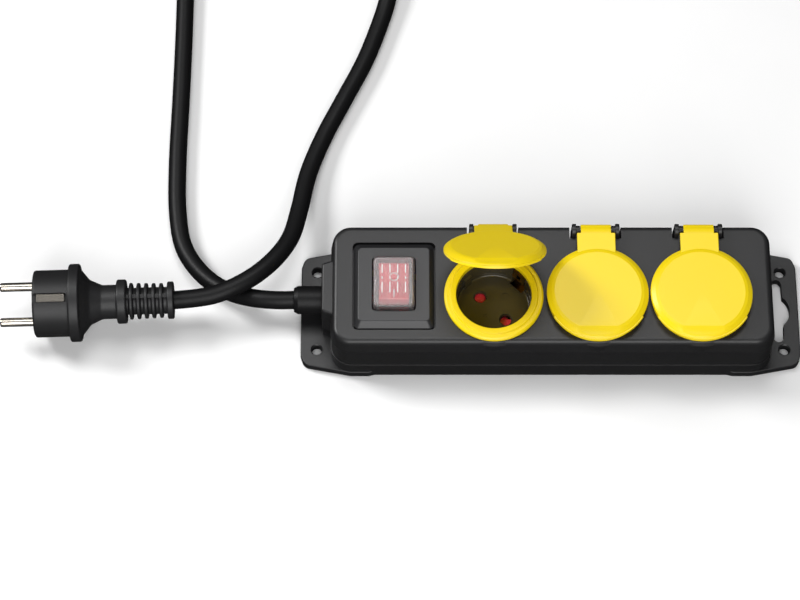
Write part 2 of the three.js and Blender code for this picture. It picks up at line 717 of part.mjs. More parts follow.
function makeLid(x) {
  const rim = lidBottom;
  const dome = turned(
    [
      [0, lidTop - LID_THICKNESS],
      [LID_RADIUS - 1.6, lidUnderside],
      [LID_RADIUS - 1.4, rim],
      [LID_RADIUS, rim],
      [LID_RADIUS, rim + 1.6],
      [LID_RADIUS - 2, lidTop - 0.6],
      [0, lidTop],
    ],
    x,
    OUTLET_Y,
  );
  const lipShape = new THREE.Shape();
  const from = -Math.PI / 2 - LIP_HALF_ANGLE;
  const to = -Math.PI / 2 + LIP_HALF_ANGLE;
  lipShape.absarc(0, 0, LID_RADIUS + LID_LIP, from, to);
  lipShape.absarc(0, 0, LID_RADIUS - 1, to, from, true);
  const lip = upright(lipShape, rim, rim + 1.6, 12).translate([x, OUTLET_Y, 0]);
  const arm = new THREE.Shape();
  const armTop = lidTop - 1;
  const tabRoot = OUTLET_Y + Math.sqrt((LID_RADIUS - 1) ** 2 - TAB_HALF ** 2);
  arm.moveTo(tabRoot, rim + 0.6);
  arm.lineTo(HINGE_Y - KNUCKLE_RADIUS - 1, rim + 0.6);
  arm.lineTo(HINGE_Y - KNUCKLE_RADIUS - 1, armTop);
  arm.lineTo(tabRoot, armTop);
  const knuckle = new THREE.Shape();
  knuckle.moveTo(HINGE_Y - KNUCKLE_RADIUS - 1.5, rim + 0.6);
  knuckle.lineTo(HINGE_Y - KNUCKLE_RADIUS + 0.4, HINGE_Z + 1.3);
  knuckle.absarc(HINGE_Y, HINGE_Z, KNUCKLE_RADIUS, Math.PI - 0.2, 2.5 * Math.PI);
  knuckle.lineTo(HINGE_Y - 1, armTop);
  knuckle.lineTo(HINGE_Y - KNUCKLE_RADIUS - 1.5, armTop);
  const whole = join(
    dome,
    lip,
    crossPrism(arm, x - TAB_HALF, x + TAB_HALF),
    crossPrism(knuckle, x - KNUCKLE_HALF, x + KNUCKLE_HALF, 10),
  );
  const bore = crossRod(pinHole, x - KNUCKLE_HALF - 1, x + KNUCKLE_HALF + 1, HINGE_Y, HINGE_Z);
  return cut(whole, bore);
}

function makeLidSeal(x) {
  return ring(WELL_RADIUS + 0.8, WELL_RADIUS + 3, lidBottom, lidUnderside - CLEARANCE, x, OUTLET_Y);
}

outletXs.forEach((x, i) => {
  const swing = new THREE.Group(); // turns about the hinge pin
  swing.position.copy(hingeAxis);
  swing.rotation.x = i === 0 ? -LID_REST_ANGLE : 0;
  const still = new THREE.Group();
  still.position.copy(hingeAxis).negate();
  swing.add(still);
  model.add(swing);
  addPiece("lid_" + (i + 1), makeLid(x), yellowPlastic, still);
  addPiece("lid_seal_" + (i + 1), makeLidSeal(x), blackRubber, still);
  const pinEnd = LUG_INNER + LUG_THICKNESS;
  const pin = crossRod(HINGE_PIN_RADIUS, x - pinEnd, x + pinEnd, HINGE_Y, HINGE_Z, 12);
  addPiece("hinge_pin_" + (i + 1), pin, steel);
});

// ---- Switch ----
const frameTop = BODY_HEIGHT + FRAME_RISE;

// A block with sloping sides between two rectangles.
function taperedBlock(x, y, low, high, lengthLow, depthLow, lengthHigh, depthHigh) {
  const geometry = new THREE.BoxGeometry(1, 1, 1);
  const position = geometry.attributes.position;
  for (let i = 0; i < position.count; i++) {
    const up = position.getZ(i) > 0;
    position.setXYZ(
      i,
      position.getX(i) * (up ? lengthHigh : lengthLow),
      position.getY(i) * (up ? depthHigh : depthLow),
      up ? high : low,
    );
  }
  return toSolid(geometry.translate(x, y, 0));
}

function makeSwitchFrame() {
  const low = pocketFloor + CLEARANCE;
  const step = BODY_HEIGHT - 1;
  const footLength = POCKET_LENGTH - 2 * CLEARANCE - 1;
  const footDepth = POCKET_DEPTH_Y - 2 * CLEARANCE - 1;
  const foot = slab(SWITCH_X, SWITCH_Y, footLength, footDepth, low, step);
  const top = taperedBlock(
    SWITCH_X, SWITCH_Y, step, frameTop, footLength, footDepth, FRAME_TOP_LENGTH, FRAME_TOP_DEPTH_Y,
  );
  const window = slab(SWITCH_X, SWITCH_Y, WINDOW_LENGTH, WINDOW_DEPTH_Y, low - 1, frameTop + 1);
  return cut(join(foot, top), window);
}
addPiece("switch_frame", makeSwitchFrame(), blackPlastic);

const capLength = WINDOW_LENGTH - 2 * CLEARANCE;
const capDepth = WINDOW_DEPTH_Y - 2 * CLEARANCE;
const capTop = frameTop + CAP_RISE;
const capLow = BODY_HEIGHT - 2;
function makeSwitchCap() {
  const shell = join(
    slab(SWITCH_X, SWITCH_Y, capLength, capDepth, capLow, capTop - 1),
    taperedBlock(
      SWITCH_X, SWITCH_Y, capTop - 1, capTop, capLength, capDepth, capLength - 2, capDepth - 2,
    ),
  );
  const hollow = slab(
    SWITCH_X, SWITCH_Y, capLength - 2 * CAP_WALL, capDepth - 2 * CAP_WALL, capLow - 1,
    capTop - CAP_WALL,
  );
  return cut(shell, hollow);
}
addPiece("switch_cap", makeSwitchCap(), clearPlastic);

const ROCKER_PIVOT_Z = BODY_HEIGHT - 7;
const ROCKER_HALF_LENGTH = 8; // along X
const ROCKER_HALF_DEPTH = 12;
const TRUNNION_RADIUS = 1.2;
const TRUNNION_END = 9.6;
const switchLow = BODY_HEIGHT - 24;
const switchPocketLow = BODY_HEIGHT - 16;
function makeSwitchBody() {
  const top = capLow - CLEARANCE;
  const shell = slab(SWITCH_X, SWITCH_Y, capLength, capDepth, switchLow, top);
  const pocket = slab(
    SWITCH_X, SWITCH_Y, 2 * (ROCKER_HALF_LENGTH + 0.5), 2 * (ROCKER_HALF_DEPTH + 1.8),
    switchPocketLow, top + 1,
  );
  const trunnionSeat = crossRod(
    TRUNNION_RADIUS + CLEARANCE, SWITCH_X - TRUNNION_END - CLEARANCE,
    SWITCH_X + TRUNNION_END + CLEARANCE, SWITCH_Y, ROCKER_PIVOT_Z,
  );
  return cut(shell, pocket, trunnionSeat);
}
addPiece("switch_body", makeSwitchBody(), darkPlastic);

function makeRocker() {
  const z = ROCKER_PIVOT_Z;
  const profile = outlineOf([
    [SWITCH_Y - 9, z - 3],
    [SWITCH_Y + 9, z - 3],
    [SWITCH_Y + ROCKER_HALF_DEPTH, z + 4],
    [SWITCH_Y + ROCKER_HALF_DEPTH, z + 9.5],
    [SWITCH_Y, z + 7.4],
    [SWITCH_Y - ROCKER_HALF_DEPTH, z + 9.5],
    [SWITCH_Y - ROCKER_HALF_DEPTH, z + 4],
  ]);
  return join(
    crossPrism(profile, SWITCH_X - ROCKER_HALF_LENGTH, SWITCH_X + ROCKER_HALF_LENGTH),
    crossRod(TRUNNION_RADIUS, SWITCH_X - TRUNNION_END, SWITCH_X + TRUNNION_END, SWITCH_Y, z),
  );
}
const rock = new THREE.Group(); // turns about the rocker's trunnions
rock.position.set(SWITCH_X, SWITCH_Y, ROCKER_PIVOT_Z);
rock.rotation.x = -ROCKER_TILT;
const rockStill = new THREE.Group();
rockStill.position.copy(rock.position).negate();
rock.add(rockStill);
model.add(rock);
addPiece("switch_rocker", makeRocker(), redPlastic, rockStill);

const LAMP_RADIUS = 1.6;
const LAMP_HALF_LENGTH = 5;
const lampZ = switchPocketLow + 2.5;
const lamp = crossRod(
  LAMP_RADIUS, SWITCH_X - LAMP_HALF_LENGTH, SWITCH_X + LAMP_HALF_LENGTH, SWITCH_Y, lampZ, 10,
);
addPiece("switch_lamp", lamp, clearPlastic);

// ---- Wires from the cord's end ----
const WIRE_RADIUS = 1.3;
const wireStart = cordEnd + 2 * CLEARANCE;
const wireLow = floorTop + 4.5;
const wireDrop = SWITCH_X - capLength / 2 - WIRE_RADIUS - CLEARANCE - 0.4; // beside the switch
const wires = [
  ["live_wire", brownCover, [
    [wireStart, 2.6, CORD_AXIS_Z],
    [wireStart + 1, 2.6, CORD_AXIS_Z - 0.2],
    [wireDrop - 0.6, 3.4, CORD_AXIS_Z - 3],
    [wireDrop, 4.4, wireLow + 4],
    [wireDrop + 3, 5.4, wireLow],
    [SWITCH_X - 5, 6, wireLow],
    [SWITCH_X - 2, 6, switchLow - 3],
    [SWITCH_X - 2, 6, switchLow - CLEARANCE],
  ]],
  ["neutral_wire", blueCover, [
    [wireStart, -2.6, CORD_AXIS_Z],
    [wireStart + 1, -2.6, CORD_AXIS_Z - 0.2],
    [wireDrop - 0.6, -3.4, CORD_AXIS_Z - 3],
    [wireDrop, -4.4, wireLow + 4],
    [wireDrop + 3, -6.4, wireLow],
    [SWITCH_X - 5, -8, wireLow],
    [SWITCH_X - 2, -8, switchLow - 3],
    [SWITCH_X - 2, -8, switchLow - CLEARANCE],
  ]],
  ["earth_wire", greenCover, [
    [wireStart, 0.5, CORD_AXIS_Z + 2.4],
    [wireStart + 1, 0.6, CORD_AXIS_Z + 2.4],
    [wireDrop - 1, 6, CORD_AXIS_Z + 2],
    [wireDrop - 0.6, 13, CORD_AXIS_Z],
    [wireDrop + 3, 18, CORD_AXIS_Z - 2],
    [SWITCH_X + 8, 18, CORD_AXIS_Z - 4],
    [SWITCH_X + 19, 8, CLIP_LOW],
    [outletXs[0] - 26, OUTLET_Y + 1, CLIP_LOW - CLEARANCE - RAIL_THICKNESS / 2],
  ]],
];
wires.forEach(([name, cover, points]) => addPiece(name, tube(points, WIRE_RADIUS, 4, 14), cover));

// ---- Plug, drawn with its tail at the origin and its pins towards -X ----
const PLUG_LENGTH = 74.6; // tail to face
const PLUG_BARREL_RADIUS = 17.9;
const PLUG_FLANGE_RADIUS = 20.8;
const PLUG_FLANGE_FROM = 49.2;
const PLUG_FLANGE_TO = 55.2;
const PLUG_PIN_REACH = 18; // the pins' length beyond the middle of the domed face
const PLUG_NECK_RADIUS = 9.1;
const RIB_RADIUS = 9.3;
const RIB_ROOT_RADIUS = 7.2;
const RIB_COUNT = 5;
const RIB_PITCH = 4;
const RIB_HALF_WIDTH = 1.2;
const FIRST_RIB = 6.6; // from the tail to its middle
const TAIL_RING_RADIUS = 10;
const DISC_RADIUS = 11.8; // of the grip disc between the ribs and the neck
const EARTH_SLOT_WIDTH = 5;
const EARTH_SLOT_LENGTH = 19;
const GROOVE_WIDTH = 5; // of the guide grooves beside the pins
const GROOVE_LENGTH = 17;
const GROOVE_DEPTH = 1.6;
const PLUG_TAIL = [-201, -1.2];
const PLUG_YAW = THREE.MathUtils.degToRad(1.85);
const PLUG_ROLL = THREE.MathUtils.degToRad(15.8);

const plug = new THREE.Group();
plug.position.set(...PLUG_TAIL, PLUG_FLANGE_RADIUS);
plug.rotation.set(PLUG_ROLL, 0, PLUG_YAW, "ZYX");
model.add(plug);

function plugProfile() {
  const ribs = [];
  for (let i = 0; i < RIB_COUNT; i++) {
    const middle = FIRST_RIB + i * RIB_PITCH;
    ribs.push([middle - RIB_HALF_WIDTH, RIB_ROOT_RADIUS]);
    ribs.push([middle, RIB_RADIUS]);
    ribs.push([middle + RIB_HALF_WIDTH, RIB_ROOT_RADIUS]);
  }
  const points = [
    [0, 0],
    [0, TAIL_RING_RADIUS],
    [3.3, TAIL_RING_RADIUS],
    [3.3, RIB_ROOT_RADIUS],
    ...ribs,
    [25, RIB_ROOT_RADIUS],
    [25, 11],
    [26, DISC_RADIUS],
    [29, DISC_RADIUS],
    [30.2, 11],
    [30.2, PLUG_NECK_RADIUS],
    [36.2, PLUG_NECK_RADIUS],
    [41, 9.9],
    [45.2, 13],
    [PLUG_FLANGE_FROM, 18],
    [PLUG_FLANGE_FROM, 19.6],
    [PLUG_FLANGE_FROM + 1.4, PLUG_FLANGE_RADIUS],
    [PLUG_FLANGE_TO - 1.4, PLUG_FLANGE_RADIUS],
    [PLUG_FLANGE_TO, 19.6],
    [PLUG_FLANGE_TO, PLUG_BARREL_RADIUS],
    [PLUG_LENGTH - 1.6, PLUG_BARREL_RADIUS],
    [PLUG_LENGTH - 0.6, PLUG_BARREL_RADIUS - 1.2],
    [PLUG_LENGTH, 0],
  ];
  return points.map(([along, radius]) => [-along, radius]).reverse();
}

const earthSlotEnd = PLUG_LENGTH - EARTH_SLOT_LENGTH;
const stripRadius = PLUG_BARREL_RADIUS - 0.9; // outer face of the earth strips
const STRIP_THICKNESS = 0.8;
const STRIP_WIDTH = 4;
const BRIDGE_FROM = 57;
const plugPinInner = PLUG_LENGTH - 12;

function makePlugBody() {
  const body = turnedAlongX(plugProfile(), 0, 0, 24);
  const slots = [-1, 1].map((side) => {
    const z = side * (stripRadius - STRIP_THICKNESS - CLEARANCE);
    const ends = inOrder(z, side * (PLUG_BARREL_RADIUS + 1));
    return block(
      [-PLUG_LENGTH - 1, -EARTH_SLOT_WIDTH / 2, ends[0]],
      [-earthSlotEnd, EARTH_SLOT_WIDTH / 2, ends[1]],
    );
  });
  const grooves = [-1, 1].map((side) => {
    const ends = inOrder(side * (PLUG_BARREL_RADIUS - GROOVE_DEPTH), side * (PLUG_BARREL_RADIUS + 1));
    return block(
      [-PLUG_LENGTH - 1, ends[0], -GROOVE_WIDTH / 2],
      [-PLUG_LENGTH + GROOVE_LENGTH, ends[1], GROOVE_WIDTH / 2],
    );
  });
  const pinHoles = [-1, 1].map((side) =>
    crossRod(
      PIN_RADIUS + CLEARANCE, -PLUG_LENGTH - 1, -plugPinInner + CLEARANCE, (side * PIN_SPACING) / 2, 0,
    ),
  );
  const bridgeRoom = block(
    [-BRIDGE_FROM - STRIP_THICKNESS - CLEARANCE, -EARTH_SLOT_WIDTH / 2, -stripRadius],
    [-BRIDGE_FROM + CLEARANCE, EARTH_SLOT_WIDTH / 2, stripRadius],
  );
  return cut(body, ...slots, ...grooves, ...pinHoles, bridgeRoom);
}
addPiece("plug_body", makePlugBody(), blackRubber, plug);

[-1, 1].forEach((side, i) => {
  const tip = -PLUG_LENGTH - PLUG_PIN_REACH;
  const profile = [
    [tip, 0],
    [tip, PIN_RADIUS - 1],
    [tip + 1.3, PIN_RADIUS],
    [-plugPinInner, PIN_RADIUS],
    [-plugPinInner, 0],
  ];
  const pin = turnedAlongX(profile, (side * PIN_SPACING) / 2, 0, 16);
  addPiece("plug_pin_" + (i + 1), pin, nickel, plug);
});

function makePlugEarthContact() {
  const half = STRIP_WIDTH / 2;
  const inner = stripRadius - STRIP_THICKNESS;
  const front = -PLUG_LENGTH + 3;
  const legs = [-1, 1].map((side) => {
    const ends = inOrder(side * inner, side * stripRadius);
    return block([front, -half, ends[0]], [-BRIDGE_FROM, half, ends[1]]);
  });
  const bridge = block(
    [-BRIDGE_FROM - STRIP_THICKNESS, -half, -stripRadius],
    [-BRIDGE_FROM, half, stripRadius],
  );
  return join(...legs, bridge);
}
addPiece("plug_earth_contact", makePlugEarthContact(), nickel, plug);

// ---- Cord: one length of about 1.5 m from the sleeve, through a coil, to the plug ----
const COIL_MIDDLE = [-141, 268];
const COIL_RADIUS = 56; // middle of its turns
const TURN_SPACING = 10; // between the middles of turns side by side
const STRAP_THICKNESS = 0.8;
const coilLow = STRAP_THICKNESS + 0.2; // the strap passes under the turns
const coilHigh = coilLow + 2 * CORD_RADIUS + TURN_SPACING * Math.sin(Math.PI / 3);
const coilInner = COIL_RADIUS - TURN_SPACING / 2 - CORD_RADIUS;
const coilOuter = COIL_RADIUS + TURN_SPACING / 2 + CORD_RADIUS;
const coilCheek = 7; // height of the coil's upright sides
// Two turns side by side with one lying in the groove between them, as [radius, height] points.
// The outline grows outward by `gap` and down by `under`, and inward by `within`.
function coilOutline(gap = 0, under = 0, within = gap) {
  return [
    [coilInner - within, coilLow - under],
    [coilOuter + gap, coilLow - under],
    [coilOuter + gap, coilLow + coilCheek + under],
    [COIL_RADIUS + CORD_RADIUS + gap, coilHigh + gap],
    [COIL_RADIUS - CORD_RADIUS - within, coilHigh + gap],
    [coilInner - within, coilLow + coilCheek + under],
  ];
}

const floorZ = CORD_RADIUS + 0.15; // the cord's middle where it lies on the surface
const sleeveLeadRoute = [
  [sleeveTip - CLEARANCE, 0, CORD_AXIS_Z],
  [-146, 0.1, 18],
  [-157.5, 2, 16.2],
  [-169, 6.4, 12.9],
  [-180.6, 14, 9.4],
  [-191.1, 25.6, 6.8],
  [-198.4, 39.5, 5.4],
  [-202, 60, floorZ],
  [-203, 90, floorZ],
  [-202.4, 130, floorZ],
  [-202, 170, floorZ],
  [-202, 200, floorZ + 0.4],
  [-202, 222, floorZ + 0.9],
];
const plugLeadRoute = [
  [-200.7, -1.2, PLUG_FLANGE_RADIUS],
  [-192, -0.6, 21.3],
  [-180.5, 0.9, 22.4],
  [-169, 5.3, 23.4],
  [-157.4, 13, 23],
  [-146.9, 24.6, 20.6],
  [-139.6, 38.5, 16.8],
  [-135.4, 57, 12],
  [-131, 82, 7.4],
  [-123, 106, 5.2],
  [-112, 130, floorZ],
  [-100, 156, floorZ],
  [-90.5, 184, floorZ + 0.1],
  [-87.4, 196, floorZ + 1],
  [-86, 208, floorZ + 2.7],
  [-85.2, 222, floorZ + 6],
];
addPiece("cord_sleeve_lead", tube(sleeveLeadRoute, CORD_RADIUS, 5, 18), cordRubber);
addPiece("cord_plug_lead", tube(plugLeadRoute, CORD_RADIUS, 5, 19), cordRubber);
const coilSection = coilOutline();
const coil = turned([...coilSection, coilSection[0]], ...COIL_MIDDLE, 40);
addPiece("cord_coil", coil, cordRubber);

// The tie is a flat band round the turns, on the side away from the strip.
const TIE_WIDTH = 12;
const TIE_PLAY = 0.2; // between the band and the turns
function makeTie() {
  const [x, y] = COIL_MIDDLE;
  const bandRoute = (gap, under, within) =>
    outlineOf(coilOutline(gap, under, within).map(([radius, z]) => [y + radius, z]));
  const outer = STRAP_THICKNESS + TIE_PLAY;
  const band = crossPrism(bandRoute(outer, outer), x - TIE_WIDTH / 2, x + TIE_WIDTH / 2);
  // The turns curve away under the band, so it keeps more room on their inner side.
  const room = bandRoute(CLEARANCE, TIE_PLAY, 2 * CLEARANCE);
  return cut(band, crossPrism(room, x - TIE_WIDTH, x + TIE_WIDTH));
}
addPiece("coil_tie", makeTie(), webbing);

export default model;
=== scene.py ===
# %% [markdown]
# # An outdoor extension cord
#
# A power strip with three covered outlets and a lit switch, its rubber cord wound in a coil, and
# a moulded plug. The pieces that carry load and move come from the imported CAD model, which is
# the frame. This file gives each visible piece its finished shape and its finish. Shapes are
# drawn in millimetres, because that is how such a part is dimensioned, and are turned to metres
# when they are placed.

# %% Load the frame
import json
import math

import bmesh
import bpy
from mathutils import Matrix, Vector

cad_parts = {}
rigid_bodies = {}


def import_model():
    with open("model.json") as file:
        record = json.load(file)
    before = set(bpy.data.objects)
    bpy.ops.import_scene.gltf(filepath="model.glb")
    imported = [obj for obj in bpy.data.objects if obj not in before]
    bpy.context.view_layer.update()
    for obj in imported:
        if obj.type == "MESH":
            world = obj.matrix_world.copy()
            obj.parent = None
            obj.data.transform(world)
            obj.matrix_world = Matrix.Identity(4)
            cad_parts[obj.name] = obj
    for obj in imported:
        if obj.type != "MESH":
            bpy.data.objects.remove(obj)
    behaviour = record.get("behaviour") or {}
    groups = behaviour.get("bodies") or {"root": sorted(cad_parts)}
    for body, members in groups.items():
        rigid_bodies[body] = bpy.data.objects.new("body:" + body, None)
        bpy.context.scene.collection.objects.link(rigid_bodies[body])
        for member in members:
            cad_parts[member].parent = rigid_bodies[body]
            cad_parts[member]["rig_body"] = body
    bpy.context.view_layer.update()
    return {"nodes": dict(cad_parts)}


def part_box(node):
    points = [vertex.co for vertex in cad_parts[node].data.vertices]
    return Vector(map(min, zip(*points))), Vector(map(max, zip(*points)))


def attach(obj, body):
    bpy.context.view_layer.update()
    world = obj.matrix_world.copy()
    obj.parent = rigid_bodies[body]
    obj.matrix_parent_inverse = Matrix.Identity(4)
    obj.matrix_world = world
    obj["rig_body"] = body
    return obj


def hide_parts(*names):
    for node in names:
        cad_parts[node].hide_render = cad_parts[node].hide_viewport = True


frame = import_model()
MM = 0.001
scene = bpy.context.scene

# %% [markdown]
# ## Camera
#
# The strip is seen from the front and well above, through a long lens, as a catalogue picture of
# such an object is made. A long lens far away keeps the round outlets round. The camera stands
# over the strip's long side and looks down at 64 degrees.

# %% Camera
CAMERA_ELEVATION = math.radians(64)
CAMERA_DISTANCE = 1.62
LENS_MM = 136.7
LOOKS_AT = Vector((-0.0805, -0.0010, 0.0205))

camera_data = bpy.data.cameras.new("camera")
camera_data.sensor_width = 36
camera_data.lens = LENS_MM
camera_data.clip_start = 0.05
camera = bpy.data.objects.new("camera", camera_data)
scene.collection.objects.link(camera)
backwards = Vector((0, -math.cos(CAMERA_ELEVATION), math.sin(CAMERA_ELEVATION)))
camera.location = LOOKS_AT + CAMERA_DISTANCE * backwards
camera.rotation_euler = (math.pi / 2 - CAMERA_ELEVATION, 0, 0)
scene.camera = camera
print("camera at", [round(value, 4) for value in camera.location])

# %% [markdown]
# ## Colours and nodes
#
# Paint and plastic colours are written as sRGB hex values, the way a colour chart gives them.
# Blender's shaders work in linear light, so one function turns a hex value to linear. A second
# function adds a node, sets it and links it, so that each material reads as a short list.

# %% Colour and node helpers
scene.view_settings.view_transform = "Standard"


def linear(hex_colour):
    """An sRGB hex colour as linear red, green, blue and alpha."""
    parts = [int(hex_colour[i : i + 2], 16) / 255 for i in (1, 3, 5)]
    return [v / 12.92 if v <= 0.04045 else ((v + 0.055) / 1.055) ** 2.4 for v in parts] + [1]


def add_node(material, kind, inputs=None, **settings):
    """Adds a node. inputs maps its sockets to values, or to another node's output."""
    tree = material.node_tree
    made = tree.nodes.new(kind)
    for name, value in settings.items():
        setattr(made, name, value)
    for socket, value in (inputs or {}).items():
        if isinstance(value, bpy.types.NodeSocket):
            tree.links.new(value, made.inputs[socket])
        else:
            made.inputs[socket].default_value = value
    return made


def set_shader(material, **inputs):
    """Sets or links inputs of the material's own shader; a name's spaces are written as _."""
    surface = material.node_tree.nodes["Principled BSDF"]
    for name, value in inputs.items():
        socket = surface.inputs[name.replace("_", " ")]
        if isinstance(value, bpy.types.NodeSocket):
            material.node_tree.links.new(value, socket)
        else:
            socket.default_value = value


def new_material(name):
    material = bpy.data.materials.new(name)
    material.use_nodes = True
    return material


# %% [markdown]
# ## Moulded plastic and rubber
#
# Nearly every outside piece is injection moulded. The tool's face is spark eroded, which leaves
# a fine grain on the part, and thick and thin walls cool unevenly, which leaves a faint cloudy
# change of shade and gloss. One recipe serves them all: a grain for the bump and the gloss, and
# a slow cloud for the colour. Its measures are real millimetres.

# %% The recipe for a moulded surface
MIX_FACTOR, MIX_A, MIX_B, MIX_RESULT = 0, 6, 7, 2  # a colour Mix node's sockets


def moulded(
    name, colour, cloud_colour, roughness, grain_mm=0.6, depth_mm=0.02, cloud_mm=30, specular=0.5
):
    """A moulded plastic or rubber, with a spark-eroded grain and a faint cloudy shade."""
    material = new_material(name)
    place = add_node(material, "ShaderNodeTexCoord").outputs["Object"]
    cloud = add_node(
        material,
        "ShaderNodeTexNoise",
        {"Vector": place, "Scale": 1 / (cloud_mm * MM), "Detail": 3.0},
    ).outputs["Fac"]
    grain = add_node(
        material,
        "ShaderNodeTexNoise",
        {"Vector": place, "Scale": 1 / (grain_mm * MM), "Detail": 4.0, "Roughness": 0.6},
    ).outputs["Fac"]
    shade = add_node(
        material,
        "ShaderNodeMix",
        {MIX_FACTOR: cloud, MIX_A: linear(colour), MIX_B: linear(cloud_colour)},
        data_type="RGBA",
    ).outputs[MIX_RESULT]
    gloss = add_node(
        material,
        "ShaderNodeMapRange",
        {
            "Value": grain,
            "From Min": 0.3,
            "From Max": 0.7,
            "To Min": roughness - 0.05,
            "To Max": roughness + 0.05,
        },
    ).outputs["Result"]
    bump = add_node(
        material, "ShaderNodeBump", {"Height": grain, "Distance": depth_mm * MM}
    ).outputs["Normal"]
    set_shader(material, Base_Color=shade, Roughness=gloss, Normal=bump)
    set_shader(material, Specular_IOR_Level=specular)
    return material


# %% [markdown]
# ## The plastics
#
# The housing is black polypropylene, which is tough, slightly waxy and shows its grain. Lids and
# outlet collars are bright yellow polypropylene with a smoother, glossier tool. The sockets'
# insides are a smoky heat-proof polyamide. The rocker is red polycarbonate, and the cover over
# it is a soft clear vinyl with a milky cast.

# %% Plastics
black_pp = moulded("polypropylene_black_moulded", "#1a1a1b", "#1f1f20", 0.4)
black_abs = moulded("abs_black_moulded", "#232324", "#28282a", 0.36, grain_mm=0.5)
dark_abs = moulded("abs_dark_moulded", "#1c1c1d", "#222223", 0.5)
yellow_pp = moulded(
    "polypropylene_yellow_moulded", "#f3d405", "#f6d90c", 0.34, grain_mm=0.8, depth_mm=0.008
)
smoky_nylon = moulded(
    "polyamide_smoky_moulded", "#3a3423", "#453e2a", 0.22, grain_mm=1.2, depth_mm=0.01
)
red_polycarbonate = moulded(
    "polycarbonate_red_moulded", "#e01c34", "#ee3346", 0.25, grain_mm=1.0, depth_mm=0.01
)
white_ink = moulded("pad_printed_white_ink", "#e9e4e2", "#f4efec", 0.5, grain_mm=0.3)
for plastic in (black_pp, black_abs, dark_abs, yellow_pp):
    set_shader(plastic, IOR=1.49)
set_shader(smoky_nylon, IOR=1.53, Coat_Weight=0.2)
set_shader(red_polycarbonate, IOR=1.585, Subsurface_Weight=0.1, Subsurface_Scale=0.002)


# %% [markdown]
# ## Clear vinyl
#
# The switch's splash cover is clear vinyl, moulded thin. It is not quite clear: plasticiser makes
# it milky, and its inside face is slightly frosted. So it lets light through with a blur, and a
# little of its light is scattered by a pale base colour.

# %% Clear vinyl
clear_vinyl = moulded(
    "vinyl_clear_moulded", "#f6e9ea", "#fbf1f1", 0.2, grain_mm=1.5, depth_mm=0.01
)
set_shader(clear_vinyl, IOR=1.46, Transmission_Weight=0.93)
print("plastics:", [m.name for m in bpy.data.materials if "moulded" in m.name])

# %% [markdown]
# ## Rubber, metals and the small parts' materials
#
# The cord, plug and sleeve are rubber: darker and duller than the plastic, with a little chalky
# bloom where they are handled. Pins and screws are plated or drawn metal, so they start from the
# metal's own colour, full metallic, and fine marks along the way they were turned or rolled.

# %% Rubber and metal
plug_rubber = moulded(
    "rubber_black_moulded", "#1a1a1b", "#202021", 0.45, grain_mm=0.7, depth_mm=0.03, specular=0.45
)
cord_rubber = moulded(
    "rubber_black_extruded", "#0d0d0e", "#121213", 0.45, grain_mm=1.0, depth_mm=0.03, specular=0.22
)
seal_rubber = moulded("silicone_black_moulded", "#1c1c1d", "#242425", 0.6)


def turned_metal(name, colour, mark_colour, roughness, mark_mm=0.15):
    """A plated or rolled metal, with fine marks that run round or along it."""
    material = new_material(name)
    place = add_node(material, "ShaderNodeTexCoord").outputs["Object"]
    stretched = add_node(
        material, "ShaderNodeMapping", {"Vector": place, "Scale": (1.0, 0.12, 0.12)}
    ).outputs["Vector"]
    marks = add_node(
        material,
        "ShaderNodeTexNoise",
        {"Vector": stretched, "Scale": 1 / (mark_mm * MM), "Detail": 3.0},
    ).outputs["Fac"]
    shade = add_node(
        material,
        "ShaderNodeMix",
        {MIX_FACTOR: marks, MIX_A: linear(colour), MIX_B: linear(mark_colour)},
        data_type="RGBA",
    ).outputs[MIX_RESULT]
    gloss = add_node(
        material,
        "ShaderNodeMapRange",
        {"Value": marks, "To Min": roughness - 0.06, "To Max": roughness + 0.1},
    ).outputs["Result"]
    bump = add_node(
        material, "ShaderNodeBump", {"Height": marks, "Distance": 0.003 * MM}
    ).outputs["Normal"]
    set_shader(material, Base_Color=shade, Roughness=gloss, Normal=bump, Metallic=1.0)
    return material


nickel = turned_metal("brass_nickel_plated", "#d8d2c8", "#c8c0b4", 0.18)
brass = turned_metal("brass_rolled", "#c9a65a", "#b8934a", 0.28)
steel = turned_metal("steel_zinc_plated", "#b9bcc0", "#a5a9ae", 0.32)

# %% [markdown]
# ## Wires and webbing
#
# Inside the strip three wires run from the cord to the switch and rails, in the usual brown, blue
# and green covers of soft vinyl. The coil is held by a strap of woven nylon. Its weave is two
# sets of waves across each other, about 1.5 mm apart, and each thread stands up between them.

# %% Wires and webbing
wire_covers = {
    "live_wire": moulded("vinyl_brown_extruded", "#6b3a1e", "#74421f", 0.4),
    "neutral_wire": moulded("vinyl_blue_extruded", "#2559a8", "#2c62b4", 0.4),
    "earth_wire": moulded("vinyl_green_extruded", "#7fae2d", "#d9cf2a", 0.4, cloud_mm=4),
}
THREAD_MM = 1.5
nylon_webbing = new_material("nylon_black_woven")
weave_place = add_node(nylon_webbing, "ShaderNodeTexCoord").outputs["Object"]
threads = [
    add_node(
        nylon_webbing,
        "ShaderNodeTexWave",
        {"Vector": weave_place, "Scale": 0.314 / (THREAD_MM * MM), "Distortion": 0.4},
        bands_direction=direction,
    ).outputs["Fac"]
    for direction in ("X", "DIAGONAL")
]
crossed = add_node(
    nylon_webbing, "ShaderNodeMath", {0: threads[0], 1: threads[1]}, operation="MULTIPLY"
).outputs["Value"]
weave_shade = add_node(
    nylon_webbing,
    "ShaderNodeMix",
    {MIX_FACTOR: crossed, MIX_A: linear("#101012"), MIX_B: linear("#3a3a3d")},
    data_type="RGBA",
).outputs[MIX_RESULT]
weave_bump = add_node(
    nylon_webbing, "ShaderNodeBump", {"Height": crossed, "Distance": 0.25 * MM}
).outputs["Normal"]
